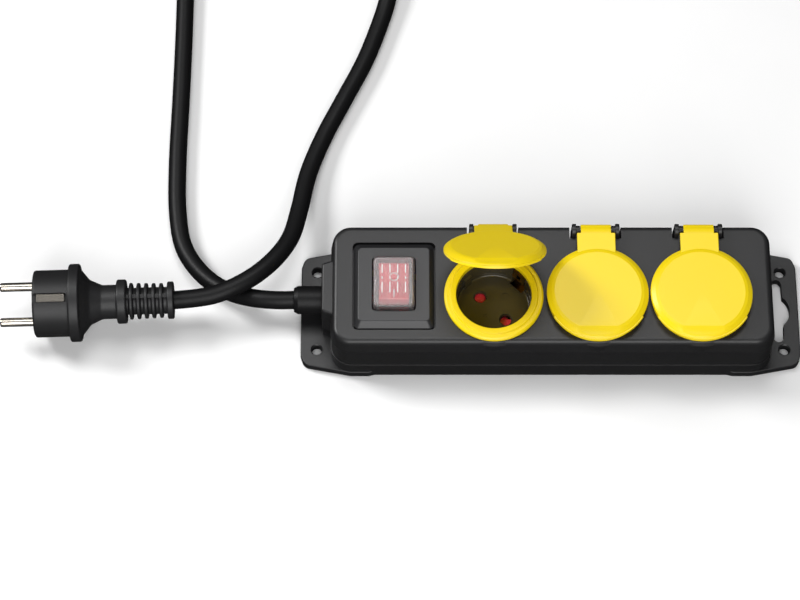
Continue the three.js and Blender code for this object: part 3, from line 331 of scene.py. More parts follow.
set_shader(nylon_webbing, Base_Color=weave_shade, Normal=weave_bump, Roughness=0.75)
set_shader(nylon_webbing, Sheen_Weight=0.2)
print("materials:", len(bpy.data.materials))

# %% [markdown]
# ## Placing a piece
#
# Each finished piece goes where its CAD node is, moves with that node's body and stands for it.
# The flat faces of a moulding have to look flat while its edges are soft, so faces are shaded
# smooth, edges over a set angle are kept sharp, and normals are weighted by the size of the
# faces.

# %% Place a piece
SHARP_ANGLE = math.radians(38)


def body_of(node):
    return frame["nodes"][node]["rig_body"]


def place_piece(name, mesh, material, body, replaced=()):
    """Makes a piece of a mesh in millimetres, on a body, in place of some CAD nodes."""
    mesh.transform(Matrix.Scale(MM, 4))
    mesh.shade_smooth()
    mesh.set_sharp_from_angle(angle=SHARP_ANGLE)
    mesh.materials.clear()
    mesh.materials.append(material)
    piece = bpy.data.objects.new(name, mesh)
    scene.collection.objects.link(piece)
    weighted = piece.modifiers.new("even_normals", "WEIGHTED_NORMAL")
    weighted.keep_sharp = True
    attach(piece, body)
    if replaced:
        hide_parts(*replaced)
    return piece


def in_mm(node):
    """The lowest and highest corners of a CAD node, in millimetres."""
    low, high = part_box(node)
    return low / MM, high / MM


def middle_of(node):
    low, high = in_mm(node)
    return (low + high) / 2


# %% [markdown]
# ## Outlines with soft corners
#
# A moulding has no sharp corner: the tool's cutter leaves each one rounded. So outlines are
# written as a few corner points, each with the radius it is rounded by, and one function turns
# them into a smooth line. A second one moves an outline inwards, which makes the soft edge at
# the top of a wall.

# %% Outlines
def softened(corners, steps=6, closed=True):
    """A line through the corners, each (a, b) or (a, b, radius), with the radius put in."""
    line = []
    count = len(corners)
    for i, corner in enumerate(corners):
        here = Vector(corner[:2])
        radius = corner[2] if len(corner) > 2 else 0
        at_end = not closed and i in (0, count - 1)
        if radius == 0 or at_end:
            line.append(tuple(here))
            continue
        back = Vector(corners[i - 1][:2]) - here
        ahead = Vector(corners[(i + 1) % count][:2]) - here
        half_angle = back.angle(ahead) / 2
        reach = min(radius / math.tan(half_angle), 0.49 * back.length, 0.49 * ahead.length)
        start = here + back.normalized() * reach
        end = here + ahead.normalized() * reach
        for step in range(steps + 1):
            t = step / steps
            line.append(tuple((1 - t) ** 2 * start + 2 * t * (1 - t) * here + t**2 * end))
    return line


def arc(radius, start, end, steps, middle=(0, 0)):
    """Points on a circle between two angles in degrees."""
    angles = [math.radians(start + (end - start) * i / steps) for i in range(steps + 1)]
    return [
        (middle[0] + radius * math.cos(angle), middle[1] + radius * math.sin(angle))
        for angle in angles
    ]


def rounded_rectangle(half_x, half_y, corner, middle=(0, 0), steps=8):
    line = []
    for i, (side_x, side_y) in enumerate([(1, 1), (-1, 1), (-1, -1), (1, -1)]):
        centre = (
            middle[0] + side_x * (half_x - corner),
            middle[1] + side_y * (half_y - corner),
        )
        line += arc(corner, 90 * i, 90 * (i + 1), steps, centre)
    return line


def moved_in(outline, distance):
    """The outline moved inwards by a distance, with the same number of points."""
    moved = []
    points = [Vector(point) for point in outline]
    for i, point in enumerate(points):
        before = (point - points[i - 1]).normalized()
        after = (points[(i + 1) % len(points)] - point).normalized()
        normals = [Vector((-line.y, line.x)) for line in (before, after)]
        together = normals[0] + normals[1]
        moved.append(tuple(point + together * distance / max(0.3, 1 + normals[0].dot(normals[1]))))
    return moved


# %% [markdown]
# ## Solids
#
# Three ways make nearly every piece. A stack of outlines makes walls, plates and frames. A turned
# profile makes what is round. And joining or cutting whole solids makes holes, pockets and
# mouths, as a tool maker does with cores and inserts.

# %% Solids
def mesh_of(points, faces):
    """A closed mesh in millimetres, its faces turned outwards."""
    mesh = bpy.data.meshes.new("solid")
    mesh.from_pydata([tuple(point) for point in points], [], faces)
    shape = bmesh.new()
    shape.from_mesh(mesh)
    bmesh.ops.remove_doubles(shape, verts=shape.verts, dist=1e-5)
    bmesh.ops.recalc_face_normals(shape, faces=shape.faces)
    shape.to_mesh(mesh)
    shape.free()
    return mesh


def stacked(levels):
    """A solid through outlines with equal numbers of points, given as (height, outline)."""
    count = len(levels[0][1])
    points = [(x, y, height) for height, outline in levels for x, y in outline]
    faces = [list(range(count))[::-1], [len(points) - count + i for i in range(count)]]
    for level in range(len(levels) - 1):
        base = level * count
        for i in range(count):
            j = (i + 1) % count
            faces.append([base + i, base + j, base + count + j, base + count + i])
    return mesh_of(points, faces)


def soft_plate(outline, low, high, low_edge=0.0, high_edge=0.0, steps=4):
    """A plate of one outline, with its lower and upper edges rounded."""
    levels = []
    if low_edge:
        for i in range(steps + 1):
            angle = math.pi / 2 * i / steps
            inset = low_edge * (1 - math.sin(angle))
            levels.append((low + low_edge * (1 - math.cos(angle)), moved_in(outline, inset)))
    else:
        levels.append((low, outline))
    if high_edge:
        for i in range(steps + 1):
            angle = math.pi / 2 * i / steps
            inset = high_edge * (1 - math.cos(angle))
            levels.append((high - high_edge * (1 - math.sin(angle)), moved_in(outline, inset)))
    else:
        levels.append((high, outline))
    return stacked(levels)


def turned(profile, middle=(0, 0), sides=72):
    """A solid turned about a vertical axis, from a closed loop of (radius, height) points."""
    rings, points = [], []
    for radius, height in profile:
        if radius < 1e-6:
            rings.append([len(points)] * sides)
            points.append((middle[0], middle[1], height))
            continue
        rings.append(list(range(len(points), len(points) + sides)))
        for i in range(sides):
            angle = 2 * math.pi * i / sides
            x, y = radius * math.cos(angle), radius * math.sin(angle)
            points.append((middle[0] + x, middle[1] + y, height))
    faces = []
    for a, b in zip(rings, rings[1:] + rings[:1]):
        for i in range(sides):
            j = (i + 1) % sides
            corners = list(dict.fromkeys([a[i], a[j], b[j], b[i]]))
            if len(corners) > 2:
                faces.append(corners)
    return mesh_of(points, faces)


def round_bar(radius, low, high, middle=(0, 0), sides=32, edge=0.0):
    if edge:
        profile = softened([(0, low), (radius, low, edge), (radius, high, edge), (0, high)], 3)
    else:
        profile = [(0, low), (radius, low), (radius, high), (0, high)]
    return turned(profile, middle, sides)


def along_x(mesh):
    """Turns a solid drawn with its height along X and its outline in (y, z)."""
    mesh.transform(Matrix(((0, 0, 1, 0), (1, 0, 0, 0), (0, 1, 0, 0), (0, 0, 0, 1))))
    return mesh


def combined(first, others, operation="UNION"):
    """Joins solids to the first, or cuts them from it."""
    parts = []
    for mesh in [first, *others]:
        part = bpy.data.objects.new("part", mesh)
        scene.collection.objects.link(part)
        parts.append(part)
    for tool in parts[1:]:
        step = parts[0].modifiers.new("step", "BOOLEAN")
        step.object = tool
        step.operation = operation
        step.solver = "EXACT"
    view = bpy.context.evaluated_depsgraph_get()
    result = bpy.data.meshes.new_from_object(parts[0].evaluated_get(view))
    for part in parts:
        bpy.data.objects.remove(part)
    return result


def cut(first, *tools):
    return combined(first, tools, "DIFFERENCE")


def join(first, *others):
    return combined(first, others, "UNION")


print("solid tools ready")

# %% [markdown]
# ## The cord
#
# The cord is 1.5 m of round rubber cable, 9.8 mm thick. It leaves the sleeve level, sags to the
# surface, is wound two and a half turns in a flat coil behind the strip, and comes back over
# itself to the plug. A round cable this stiff bends in wide even curves, so the coil is 112 mm
# across at the middle of its turns. The outer turn lies beside the inner one and the last half
# turn lies in the groove between them.

# %% The cord's route
CORD_DIAMETER = 9.8
cord_radius = CORD_DIAMETER / 2
FLOOR_Z = 5.05
SLEEVE_TIP = -137.1
sleeve_lead = [
    (SLEEVE_TIP, 0, 18.4),
    (-146, 0.1, 18),
    (-157.5, 2, 16.2),
    (-169, 6.4, 12.9),
    (-180.6, 14, 9.4),
    (-191.1, 25.6, 6.8),
    (-198.4, 39.5, 5.4),
    (-202, 60, FLOOR_Z),
    (-203, 90, FLOOR_Z),
    (-202.4, 130, FLOOR_Z),
    (-202, 170, FLOOR_Z),
    (-202, 200, FLOOR_Z + 0.4),
    (-202, 222, FLOOR_Z + 0.9),
    (-202, 246, FLOOR_Z + 0.9),
]
plug_lead = [
    (-200.7, -1.2, 20.8),
    (-192, -0.6, 21.3),
    (-180.5, 0.9, 22.4),
    (-169, 5.3, 23.4),
    (-157.4, 13, 23),
    (-146.9, 24.6, 20.6),
    (-139.6, 38.5, 16.8),
    (-135.4, 57, 12),
    (-131, 82, 7.4),
    (-123, 106, 5.2),
    (-112, 130, FLOOR_Z),
    (-100, 156, FLOOR_Z),
    (-90.5, 184, FLOOR_Z + 0.1),
    (-87.4, 196, FLOOR_Z + 1),
    (-86, 208, FLOOR_Z + 2.7),
    (-85.2, 222, FLOOR_Z + 6),
    (-85, 232, 13.8),
    (-85, 244, 15.9),
    (-85, 256, 15.2),
]
COIL_MIDDLE = (-141, 268)
COIL_OUTER, COIL_INNER, COIL_TOP = 61, 51, 56  # radii of the three strands' middles
BOTTOM_Z, TOP_Z = 5.95, 14.65
HUMP = 1.2  # the top strand lifts by this where it crosses the one below
# Where along the coil, in degrees, the cord steps inwards, climbs, steps outwards and crosses.
STEP_IN, CLIMB, STEP_OUT = (290, 360), (560, 626), (600, 652)
HUMP_AT, HUMP_SPREAD = 688, 24
COIL_DEGREES = 900


def eased(value, start, end):
    t = min(1, max(0, (value - start) / (end - start)))
    return t * t * (3 - 2 * t)


coil = []
for degrees in range(0, COIL_DEGREES + 1, 10):
    inwards = eased(degrees, *STEP_IN) * (COIL_INNER - COIL_OUTER)
    outwards = eased(degrees, *STEP_OUT) * (COIL_TOP - COIL_INNER)
    climb = eased(degrees, *CLIMB) * (TOP_Z - BOTTOM_Z)
    hump = HUMP * math.exp(-(((degrees - HUMP_AT) / HUMP_SPREAD) ** 2))
    angle = math.radians(180 - degrees)
    radius = COIL_OUTER + inwards + outwards
    coil.append(
        (
            COIL_MIDDLE[0] + radius * math.cos(angle),
            COIL_MIDDLE[1] + radius * math.sin(angle),
            BOTTOM_Z + climb + hump,
        )
    )
route = sleeve_lead + coil + plug_lead[::-1]
print("cord route points:", len(route))


# %% [markdown]
# ## A smooth line through the route
#
# A cable has no kinks, so the points are joined by the same kind of smooth curve that the CAD
# tube follows. It is sampled every few millimetres into one open line, and the curve's round
# bevel gives it the cable's thickness.

# %% The cord
def smooth_line(points, steps=5):
    """A centripetal curve through the points."""
    places = [Vector(point) for point in points]
    places = [2 * places[0] - places[1], *places, 2 * places[-1] - places[-2]]
    line = []
    for p0, p1, p2, p3 in zip(places, places[1:], places[2:], places[3:]):
        t1 = (p1 - p0).length ** 0.5
        t2 = t1 + (p2 - p1).length ** 0.5
        t3 = t2 + (p3 - p2).length ** 0.5
        for step in range(steps):
            t = t1 + (t2 - t1) * step / steps
            a1 = p0 * (t1 - t) / t1 + p1 * t / t1
            a2 = p1 * (t2 - t) / (t2 - t1) + p2 * (t - t1) / (t2 - t1)
            a3 = p2 * (t3 - t) / (t3 - t2) + p3 * (t - t2) / (t3 - t2)
            b1 = a1 * (t2 - t) / t2 + a2 * t / t2
            b2 = a2 * (t3 - t) / (t3 - t1) + a3 * (t - t1) / (t3 - t1)
            line.append(b1 * (t2 - t) / (t2 - t1) + b2 * (t - t1) / (t2 - t1))
    return line + [places[-2]]


cord_line = smooth_line(route)
measured = sum((b - a).length for a, b in zip(cord_line, cord_line[1:]))
print("cord length:", round(measured), "mm")

cord_curve = bpy.data.curves.new("cord", "CURVE")
cord_curve.dimensions = "3D"
cord_curve.bevel_depth = cord_radius * MM
cord_curve.bevel_resolution = 6
cord_curve.use_fill_caps = True
spline = cord_curve.splines.new("POLY")
spline.points.add(len(cord_line) - 1)
for point, place in zip(spline.points, cord_line):
    point.co = (*(place * MM), 1)
spline.use_smooth = True
cord_curve.materials.append(cord_rubber)
cord = bpy.data.objects.new("cord", cord_curve)
scene.collection.objects.link(cord)
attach(cord, "strip")
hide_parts("cord_sleeve_lead", "cord_plug_lead", "cord_coil")

# %% [markdown]
# ## The coil's strap
#
# A webbing strap goes once round the coil on the side away from the strip. It is pulled snug over
# the two lower strands and the one on top, so its section is the line a belt takes round three
# pulleys.

# %% The strap
STRAP_WIDTH = 12
STRAP_THICKNESS = 0.8


def belt(centres, radius, steps=10):
    """The line of a belt round circles of one radius, in the order given."""
    line = []
    count = len(centres)
    for i, centre in enumerate(centres):
        here = Vector(centre)
        before = here - Vector(centres[i - 1])
        after = Vector(centres[(i + 1) % count]) - here
        start = math.degrees(math.atan2(-before.x, before.y))
        turn = math.degrees(before.angle_signed(after))
        line += arc(radius, start, start - turn, steps, centre)
    return line


north = COIL_MIDDLE[1]
strands = [
    (north + COIL_INNER, BOTTOM_Z),
    (north + COIL_OUTER, BOTTOM_Z),
    (north + COIL_TOP, TOP_Z),
]
STRAP_PLAY = 0.05
strap_inner = belt(strands, cord_radius + STRAP_PLAY)
strap_outer = belt(strands, cord_radius + STRAP_PLAY + STRAP_THICKNESS)
strap = cut(
    soft_plate(strap_outer, -STRAP_WIDTH / 2, STRAP_WIDTH / 2, 0.3, 0.3),
    soft_plate(strap_inner, -STRAP_WIDTH / 2 - 1, STRAP_WIDTH / 2 + 1),
)
along_x(strap).transform(Matrix.Translation((COIL_MIDDLE[0], 0, 0)))
coil_strap = place_piece("coil_strap", strap, nylon_webbing, "strip", ["coil_tie"])
print("strap:", len(strap.vertices), "points")

# %% [markdown]
# ## The housing
#
# The top half of the strip is one black moulding. Its walls rise to a fine crease, then a full
# round shoulder leads to the flat top, so that water runs off and no edge is sharp to the hand.
# The shoulder is drawn as one line of inset and height, and the body's outline is stacked along
# it.

# %% The housing's outside
housing_low, housing_high = in_mm("top_housing")
BODY_HALF_X = housing_high.x
BODY_HALF_Y = housing_high.y
BODY_CORNER = 11
TOP = 38  # height of the housing's flat top
WALL = 2.5


def body_outline(inset, steps=12):
    return rounded_rectangle(
        BODY_HALF_X - inset, BODY_HALF_Y - inset, BODY_CORNER - inset, steps=steps
    )


slope = softened(
    [
        (0.6, housing_low.z),
        (0.5, 28.3),
        (0.2, 28.6),
        (1.5, TOP, 14),
        (7.8, TOP),
    ],
    steps=12,
    closed=False,
)
outside = stacked([(height, body_outline(inset)) for inset, height in slope])
cavity = stacked(
    [
        (housing_low.z - 1, body_outline(WALL)),
        (26, body_outline(WALL)),
        (TOP - WALL, body_outline(8)),
    ]
)
port_outline = softened([(-122.1, -14, 2), (-110.9, -18), (-110.9, 18), (-122.1, 14, 2)])
PORT_TOP = 34.5
port = soft_plate(port_outline, housing_low.z, PORT_TOP, high_edge=1.4)
print("housing outline levels:", len(slope))

# %% [markdown]
# ## What the housing carries
#
# Round bosses hold the three outlets, and their rounded shoulders show just in front of the lids.
# Behind each outlet two lugs carry the hinge pin, in a notch that lets the lid swing right back.
# Thin slits beside the lugs let rain run off behind the strip.

# %% Bosses, notches and lugs
outlet_middles = [middle_of(f"outlet_collar_{n}") for n in (1, 2, 3)]
pin_middles = [middle_of(f"hinge_pin_{n}") for n in (1, 2, 3)]
OUTLET_HOLE = 25
LUG_INNER, LUG_OUTER, SLIT_OUTER = 10.4, 12.6, 13.7
NOTCH_FRONT, NOTCH_FLOOR = 26.9, 31.5
LUG_EYE = 3.4
LUG_COLLAR_RADIUS = 2.4
HINGE_BORE = 1.3  # radius, for a pin of 1 mm radius


def block(low, high):
    (x0, y0, z0), (x1, y1, z1) = low, high
    return stacked([(z, [(x0, y0), (x1, y0), (x1, y1), (x0, y1)]) for z in (z0, z1)])


bosses, tools, lugs, bores = [], [], [], []
for outlet, pin in zip(outlet_middles, pin_middles):
    here = (outlet.x, outlet.y)
    shoulder = [(23, 29.7), (28, 29.7), (28, 35.4, 1.6), (26.4, 37.9, 1.6), (23, 37.9)]
    bosses.append(turned(softened(shoulder), here, 96))
    bosses.append(block((pin.x - 16.2, 23.4, 20), (pin.x + 16.2, 32.8, 35.7)))
    tools.append(round_bar(OUTLET_HOLE, 27.3, 40.3, here, 90))
    notch_low = (pin.x - SLIT_OUTER, NOTCH_FRONT, NOTCH_FLOOR)
    tools.append(block(notch_low, (pin.x + SLIT_OUTER, 38, 40)))
    for side in (-1, 1):
        x0, x1 = sorted((pin.x + side * LUG_OUTER, pin.x + side * (SLIT_OUTER - 0.05)))
        tools.append(block((x0, NOTCH_FRONT + 3, 16), (x1, 38.5, 39)))
        arm = [(pin.y - LUG_EYE, NOTCH_FLOOR - 1), (pin.y + LUG_EYE + 1, NOTCH_FLOOR - 1)]
        arm += arc(LUG_EYE, 0, 180, 16, (pin.y, pin.z))
        x0, x1 = sorted((pin.x + side * LUG_INNER, pin.x + side * LUG_OUTER))
        lugs.append(along_x(soft_plate(arm, x0, x1, 0.35, 0.35)))
        x0, x1 = sorted((pin.x + side * 8.3, pin.x + side * (LUG_INNER + 0.5)))
        lugs.append(along_x(round_bar(LUG_COLLAR_RADIUS, x0, x1, (pin.y, pin.z))))
    bore = round_bar(HINGE_BORE, pin.x - 14, pin.x + 14, (pin.y, pin.z), 24)
    bores.append(along_x(bore))
print("bosses and lugs:", len(bosses), len(lugs))

# %% [markdown]
# ## Joining the housing
#
# The shell is hollowed, joined to its bosses and cord port, then cut for the outlets, notches,
# switch and cord. The lugs come last, because they stand inside the notches.

# %% The housing
frame_middle = middle_of("switch_frame")
SWITCH = (frame_middle.x, frame_middle.y)
sleeve_middle = middle_of("cord_sleeve")
CORD_Z = sleeve_middle.z
POCKET_FLOOR = 34
pocket = soft_plate(rounded_rectangle(22, 25.7, 3, SWITCH), POCKET_FLOOR, TOP + 2)
window = soft_plate(rounded_rectangle(13.3, 17.3, 3, SWITCH), 28, POCKET_FLOOR + 1)
pocket_walls = soft_plate(
    rounded_rectangle(24.5, 28.2, 4, SWITCH), POCKET_FLOOR - WALL, POCKET_FLOOR + WALL
)
PORT_HOLLOW = [(-119.6, -12), (-108, -15.5), (-108, 15.5), (-119.6, 12)]
SLEEVE_RADIUS = 7.55
port_hollow = soft_plate(PORT_HOLLOW, housing_low.z - 1, 32)


def sleeve_bore():
    """A tool for the sleeve's hole, with 0.3 mm of play."""
    return along_x(round_bar(SLEEVE_RADIUS + 0.3, -124, -106, (0, CORD_Z), 48))


shell = join(cut(outside, cavity), port, pocket_walls, *bosses)
shell = cut(shell, *tools, pocket, window, port_hollow, sleeve_bore())
shell = cut(join(shell, *lugs), *bores)
place_piece("housing", shell, black_pp, "strip", ["top_housing"])
print("housing:", len(shell.vertices), "points")

# %% [markdown]
# ## The tray
#
# The bottom half is a shallow black tray. Its plate runs out past both ends as ears with screw
# holes, and one ear has a slot for hanging the strip on a nail: a narrow slot, with a round
# place in its middle that the nail's head passes through.

# %% The tray's outline
tray_high = in_mm("base_tray")[1]
EAR_END = tray_high.x
EAR_HALF_Y = 30.8
EAR_TOP = 5
TRAY_TOP = 13
seal_hollow = body_outline(WALL)


def ear_outline(side):
    """The ear past one end of the body, with the arms that lead into the long sides."""
    arms_y = tray_high.y
    corners = [
        (92, -arms_y + 1.2),
        (97, -arms_y, 3),
        (107, -arms_y, 6),
        (EAR_END - 2, -EAR_HALF_Y - 0.9, 5),
        (EAR_END, -EAR_HALF_Y + 5, 3),
        (EAR_END, EAR_HALF_Y - 5, 3),
        (EAR_END - 2, EAR_HALF_Y + 0.9, 5),
        (107, arms_y, 6),
        (97, arms_y, 3),
        (92, arms_y - 1.2),
    ]
    line = softened(corners, steps=8)
    return line if side > 0 else [(-x, y) for x, y in reversed(line)]


HOLE_X, HOLE_Y, HOLE_RADIUS = 125, 23, 2.75
SCREW_SINK = 3.3  # radius of the sinks for the housing screws' heads
SLOT_X, SLOT_HALF_WIDTH, SLOT_HALF_LENGTH = 122.5, 2.9, 18.5
slot_outline = arc(SLOT_HALF_WIDTH, 180, 360, 12, (SLOT_X, SLOT_HALF_WIDTH - SLOT_HALF_LENGTH))
slot_outline += arc(11, -48, 48, 20, (118.2, 0))
slot_outline += arc(SLOT_HALF_WIDTH, 0, 180, 12, (SLOT_X, SLOT_HALF_LENGTH - SLOT_HALF_WIDTH))
print("slot points:", len(slot_outline))

# %% [markdown]
# ## Making the tray
#
# The tray's wall carries a rebate for the seal and stands a little proud of the housing, so that
# a thin line shows all round at the seam. Screws go up from below, in deep round sinks.

# %% The tray
tray_wall = soft_plate(body_outline(0), 0, TRAY_TOP, 0.8, 0.25)
tray_parts = [soft_plate(ear_outline(side), 0, EAR_TOP, 0.6, 0.6) for side in (-1, 1)]
tray_parts.append(soft_plate(port_outline, 0, TRAY_TOP, 0.6, 0.25))
tray_tools = [
    soft_plate(seal_hollow, WALL, TRAY_TOP + 1),
    soft_plate(body_outline(WALL / 2), 11.5, TRAY_TOP + 1),
    soft_plate(PORT_HOLLOW, WALL, TRAY_TOP + 1),
    soft_plate(slot_outline, -1, EAR_TOP + 1),
    sleeve_bore(),
]
for x in (-HOLE_X, HOLE_X):
    for y in (-HOLE_Y, HOLE_Y):
        sink = [(0, -1), (HOLE_RADIUS, -1), (HOLE_RADIUS, 4.4), (HOLE_RADIUS + 1.2, 5.6), (0, 5.6)]
        tray_tools.append(turned(sink, (x, y), 40))
for n in range(1, 7):
    screw = middle_of(f"housing_screw_{n}")
    tray_tools.append(round_bar(SCREW_SINK, -1, 3.1, (screw.x, screw.y)))
tray_mesh = cut(join(tray_wall, *tray_parts), *tray_tools)
place_piece("tray", tray_mesh, black_pp, "strip", ["base_tray"])
print("tray:", len(tray_mesh.vertices), "points")

# %% [markdown]
# ## Collars and sockets
#
# Each outlet has a yellow collar, turned in two steps so that the lid's seal lies flat on it. In
# it sits a smoky cup with the two pin holes, two ribs that guide the plug, slots for the sprung
# earth clips, and small marks in its floor.

# %% Collars
collar_line = softened(
    [
        (19.9, 38.3),
        (19.9, 41.5, 0.5),
        (23.0, 41.5, 0.35),
        (23.5, 40.7, 0.25),
        (25.2, 40.7, 0.3),
        (26.2, 40.0, 0.7),
        (26.2, 38.3, 0.2),
        (24.7, 38.3),
        (24.7, 35.5),
        (22.8, 35.5),
        (22.8, 38.3),
    ]
)
for n, outlet in enumerate(outlet_middles, 1):
    collar_mesh = turned(collar_line, (outlet.x, outlet.y), 120)
    node = f"outlet_collar_{n}"
    place_piece(f"collar_{n}", collar_mesh, yellow_pp, "strip", [node])
print("collar profile points:", len(collar_line))

# %% [markdown]
# ## The cups
#
# A cup is drawn with its pins on X, as a toolmaker would, then turned by 45 degrees and moved to
# its place, because the strip's outlets are set on the diagonal so that flat plugs clear each
# other.

# %% Cups and earth clips
OUTLET_TURN = math.radians(-45)
WELL_RADIUS, WELL_FLOOR = 19.7, 24
PIN_OFFSET = 9.5
CUP_RADIUS, CUP_BOTTOM = 22.5, 21.5
PIN_HOLE = 2.9  # radius


def at_outlet(mesh, outlet):
    turn = Matrix.Rotation(OUTLET_TURN, 4, "Z")
    mesh.transform(Matrix.Translation((outlet.x, outlet.y, 0)) @ turn)
    return mesh


cup_line = softened(
    [
        (0, CUP_BOTTOM),
        (CUP_RADIUS, CUP_BOTTOM),
        (CUP_RADIUS, TOP),
        (WELL_RADIUS, TOP, 0.5),
        (WELL_RADIUS, WELL_FLOOR, 1.2),
        (0, WELL_FLOOR),
    ]
)
clip_outer = [(21.4, 12), (21.4, 25), (19.0, 31.5, 2), (20.6, 35.5)]
clip_inner = [(19.8, 35.5), (18.1, 31.5, 2), (20.6, 25), (20.6, 12.8)]
clip_half = softened(clip_outer + clip_inner, closed=False)
clip_outline = clip_half + [(-y, z) for y, z in reversed(clip_half)]
for n, outlet in enumerate(outlet_middles, 1):
    cup_tools = [
        block((-1.2, -6.4, 23.6), (1.2, -5.9, 25)),
        block((-0.25, -7.3, 23.5), (0.25, -5, 26)),
        round_bar(2.3, 23.55, 27, (0, PIN_OFFSET), 32),
    ]
    for side in (-1, 1):
        hole = [(0, 20), (PIN_HOLE, 20), (PIN_HOLE, 23.2), (PIN_HOLE + 0.8, 24.2), (0, 24.2)]
        cup_tools.append(turned(hole, (side * PIN_OFFSET, 0), 36))
        y0, y1 = sorted((side * 17, side * 23.9))
        cup_tools.append(block((-4.4, y0, 20), (4.4, y1, 39)))
    cup = turned(cup_line, sides=96)
    guides = [
        block((side * 19.6 - 1.3, -2.5, 23), (side * 19.6 + 1.3, 2.5, 33)) for side in (-1, 1)
    ]
    cup_mesh = at_outlet(cut(join(cup, *guides), *cup_tools), outlet)
    node = f"socket_insert_{n}"
    place_piece(f"cup_{n}", cup_mesh, smoky_nylon, "strip", [node])
    clip = along_x(stacked([(-4, clip_outline), (4, clip_outline)]))
    clip = cut(clip, block((-1.3, -24, 27), (1.3, 24, 34.3)))
    node = f"earth_contact_{n}"
    place_piece(f"earth_clip_{n}", at_outlet(clip, outlet), brass, "strip", [node])
print("cups and clips placed")

# %% [markdown]
# ## The lids
#
# A lid is a thin dish with a sloping rim, so its face is flat and its edge takes the light. The
# front carries a thumb lip and a hollow for the finger. At the back a tab narrows to the round
# knuckle that turns on the pin.

# %% Lid shapes
LID_RADIUS, LIP_RADIUS = 26.8, 27.4
LID_BOTTOM, LID_TOP = 41.8, 45.4
TAB_HALF, KNUCKLE_HALF, KNUCKLE_RADIUS = 10.1, 8, 3
TAB_LOW, TAB_HIGH = 42.4, 44.5
lid_line = softened(
    [
        (0, 43.7),
        (24.4, 43.5, 0.8),
        (25.3, LID_BOTTOM, 0.2),
        (LID_RADIUS, LID_BOTTOM, 0.3),
        (LID_RADIUS, 43.2, 0.4),
        (26.3, 43.7, 0.3),
        (24.4, 44.9, 0.8),
        (22.8, LID_TOP, 0.8),
        (0, LID_TOP),
    ]
)


def closed_lid(outlet, pin):
    """One lid in its closed place."""
    lip_line = arc(LIP_RADIUS, -149, -31, 40, (outlet.x, outlet.y))
    lip_line += arc(LIP_RADIUS - 2, -31, -149, 40, (outlet.x, outlet.y))
    tab_end = pin.y - 3.6
    tab = [(13, TAB_LOW), (tab_end, TAB_LOW), (tab_end, TAB_HIGH), (13, TAB_HIGH)]
    knuckle = [(pin.y - 4.4, TAB_LOW), (pin.y - 2.6, pin.z + 1.3)]
    knuckle += arc(KNUCKLE_RADIUS, 170, 450, 30, (pin.y, pin.z))
    knuckle += [(pin.y - 1, TAB_HIGH - 0.2), (pin.y - 4.4, TAB_HIGH - 0.2)]
    lid = turned(lid_line, (outlet.x, outlet.y), 144)
    parts = [
        soft_plate(lip_line, LID_BOTTOM + 0.02, 43.3, 0.2, 0.3),
        along_x(soft_plate(tab, pin.x - TAB_HALF, pin.x + TAB_HALF, 0.35, 0.35)),
        along_x(soft_plate(knuckle, pin.x - KNUCKLE_HALF, pin.x + KNUCKLE_HALF, 0.3, 0.3)),
    ]
    scoop = along_x(round_bar(16, -20, 20, (outlet.y - 26.5, 60.2), 160))
    scoop.transform(Matrix.Translation((outlet.x, 0, 0)))
    bore = along_x(round_bar(HINGE_BORE, pin.x - 9, pin.x + 9, (pin.y, pin.z), 24))
    return cut(join(lid, *parts), scoop, bore)


def turned_open(mesh, pin, angle):
    """Turns a piece about the hinge pin."""
    to_pin = Matrix.Translation(pin)
    mesh.transform(to_pin @ Matrix.Rotation(angle, 4, "X") @ to_pin.inverted())
    return mesh


# %% [markdown]
# ## Placing the lids
#
# The first lid stands half open, held by the friction of its hinge; the other two are closed.
# Under each lies a ring of soft silicone that presses on the collar when the lid is shut.

# %% Lids, seals and pins
REST_ANGLES = [math.radians(-44), 0, 0]
seal_line = softened([(20.5, 41.8, 0.3), (22.7, 41.8, 0.3), (22.7, 43.2), (20.5, 43.2)])
for n, (outlet, pin, angle) in enumerate(zip(outlet_middles, pin_middles, REST_ANGLES), 1):
    lid_mesh = turned_open(closed_lid(outlet, pin), pin, angle)
    body = body_of(f"lid_{n}")
    place_piece(f"outlet_lid_{n}", lid_mesh, yellow_pp, body, [f"lid_{n}"])
    ring = turned_open(turned(seal_line, (outlet.x, outlet.y), 96), pin, angle)
    place_piece(f"lid_ring_{n}", ring, seal_rubber, body, [f"lid_seal_{n}"])
    rod = along_x(round_bar(1, pin.x - LUG_OUTER, pin.x + LUG_OUTER, (pin.y, pin.z), 24, edge=0.2))
    place_piece(f"lid_pin_{n}", rod, steel, "strip", [f"hinge_pin_{n}"])
print("lids placed, first one open by", round(-math.degrees(REST_ANGLES[0])), "degrees")

# %% [markdown]
# ## The switch
#
# A black frame with bevelled sides clips into its pocket and holds the clear splash cover, a
# thin soft cap with rounded edges. Under it is the red rocker.

# %% The switch frame and cover
def switch_outline(half_x, half_y, corner):
    return rounded_rectangle(half_x, half_y, corner, SWITCH, steps=6)


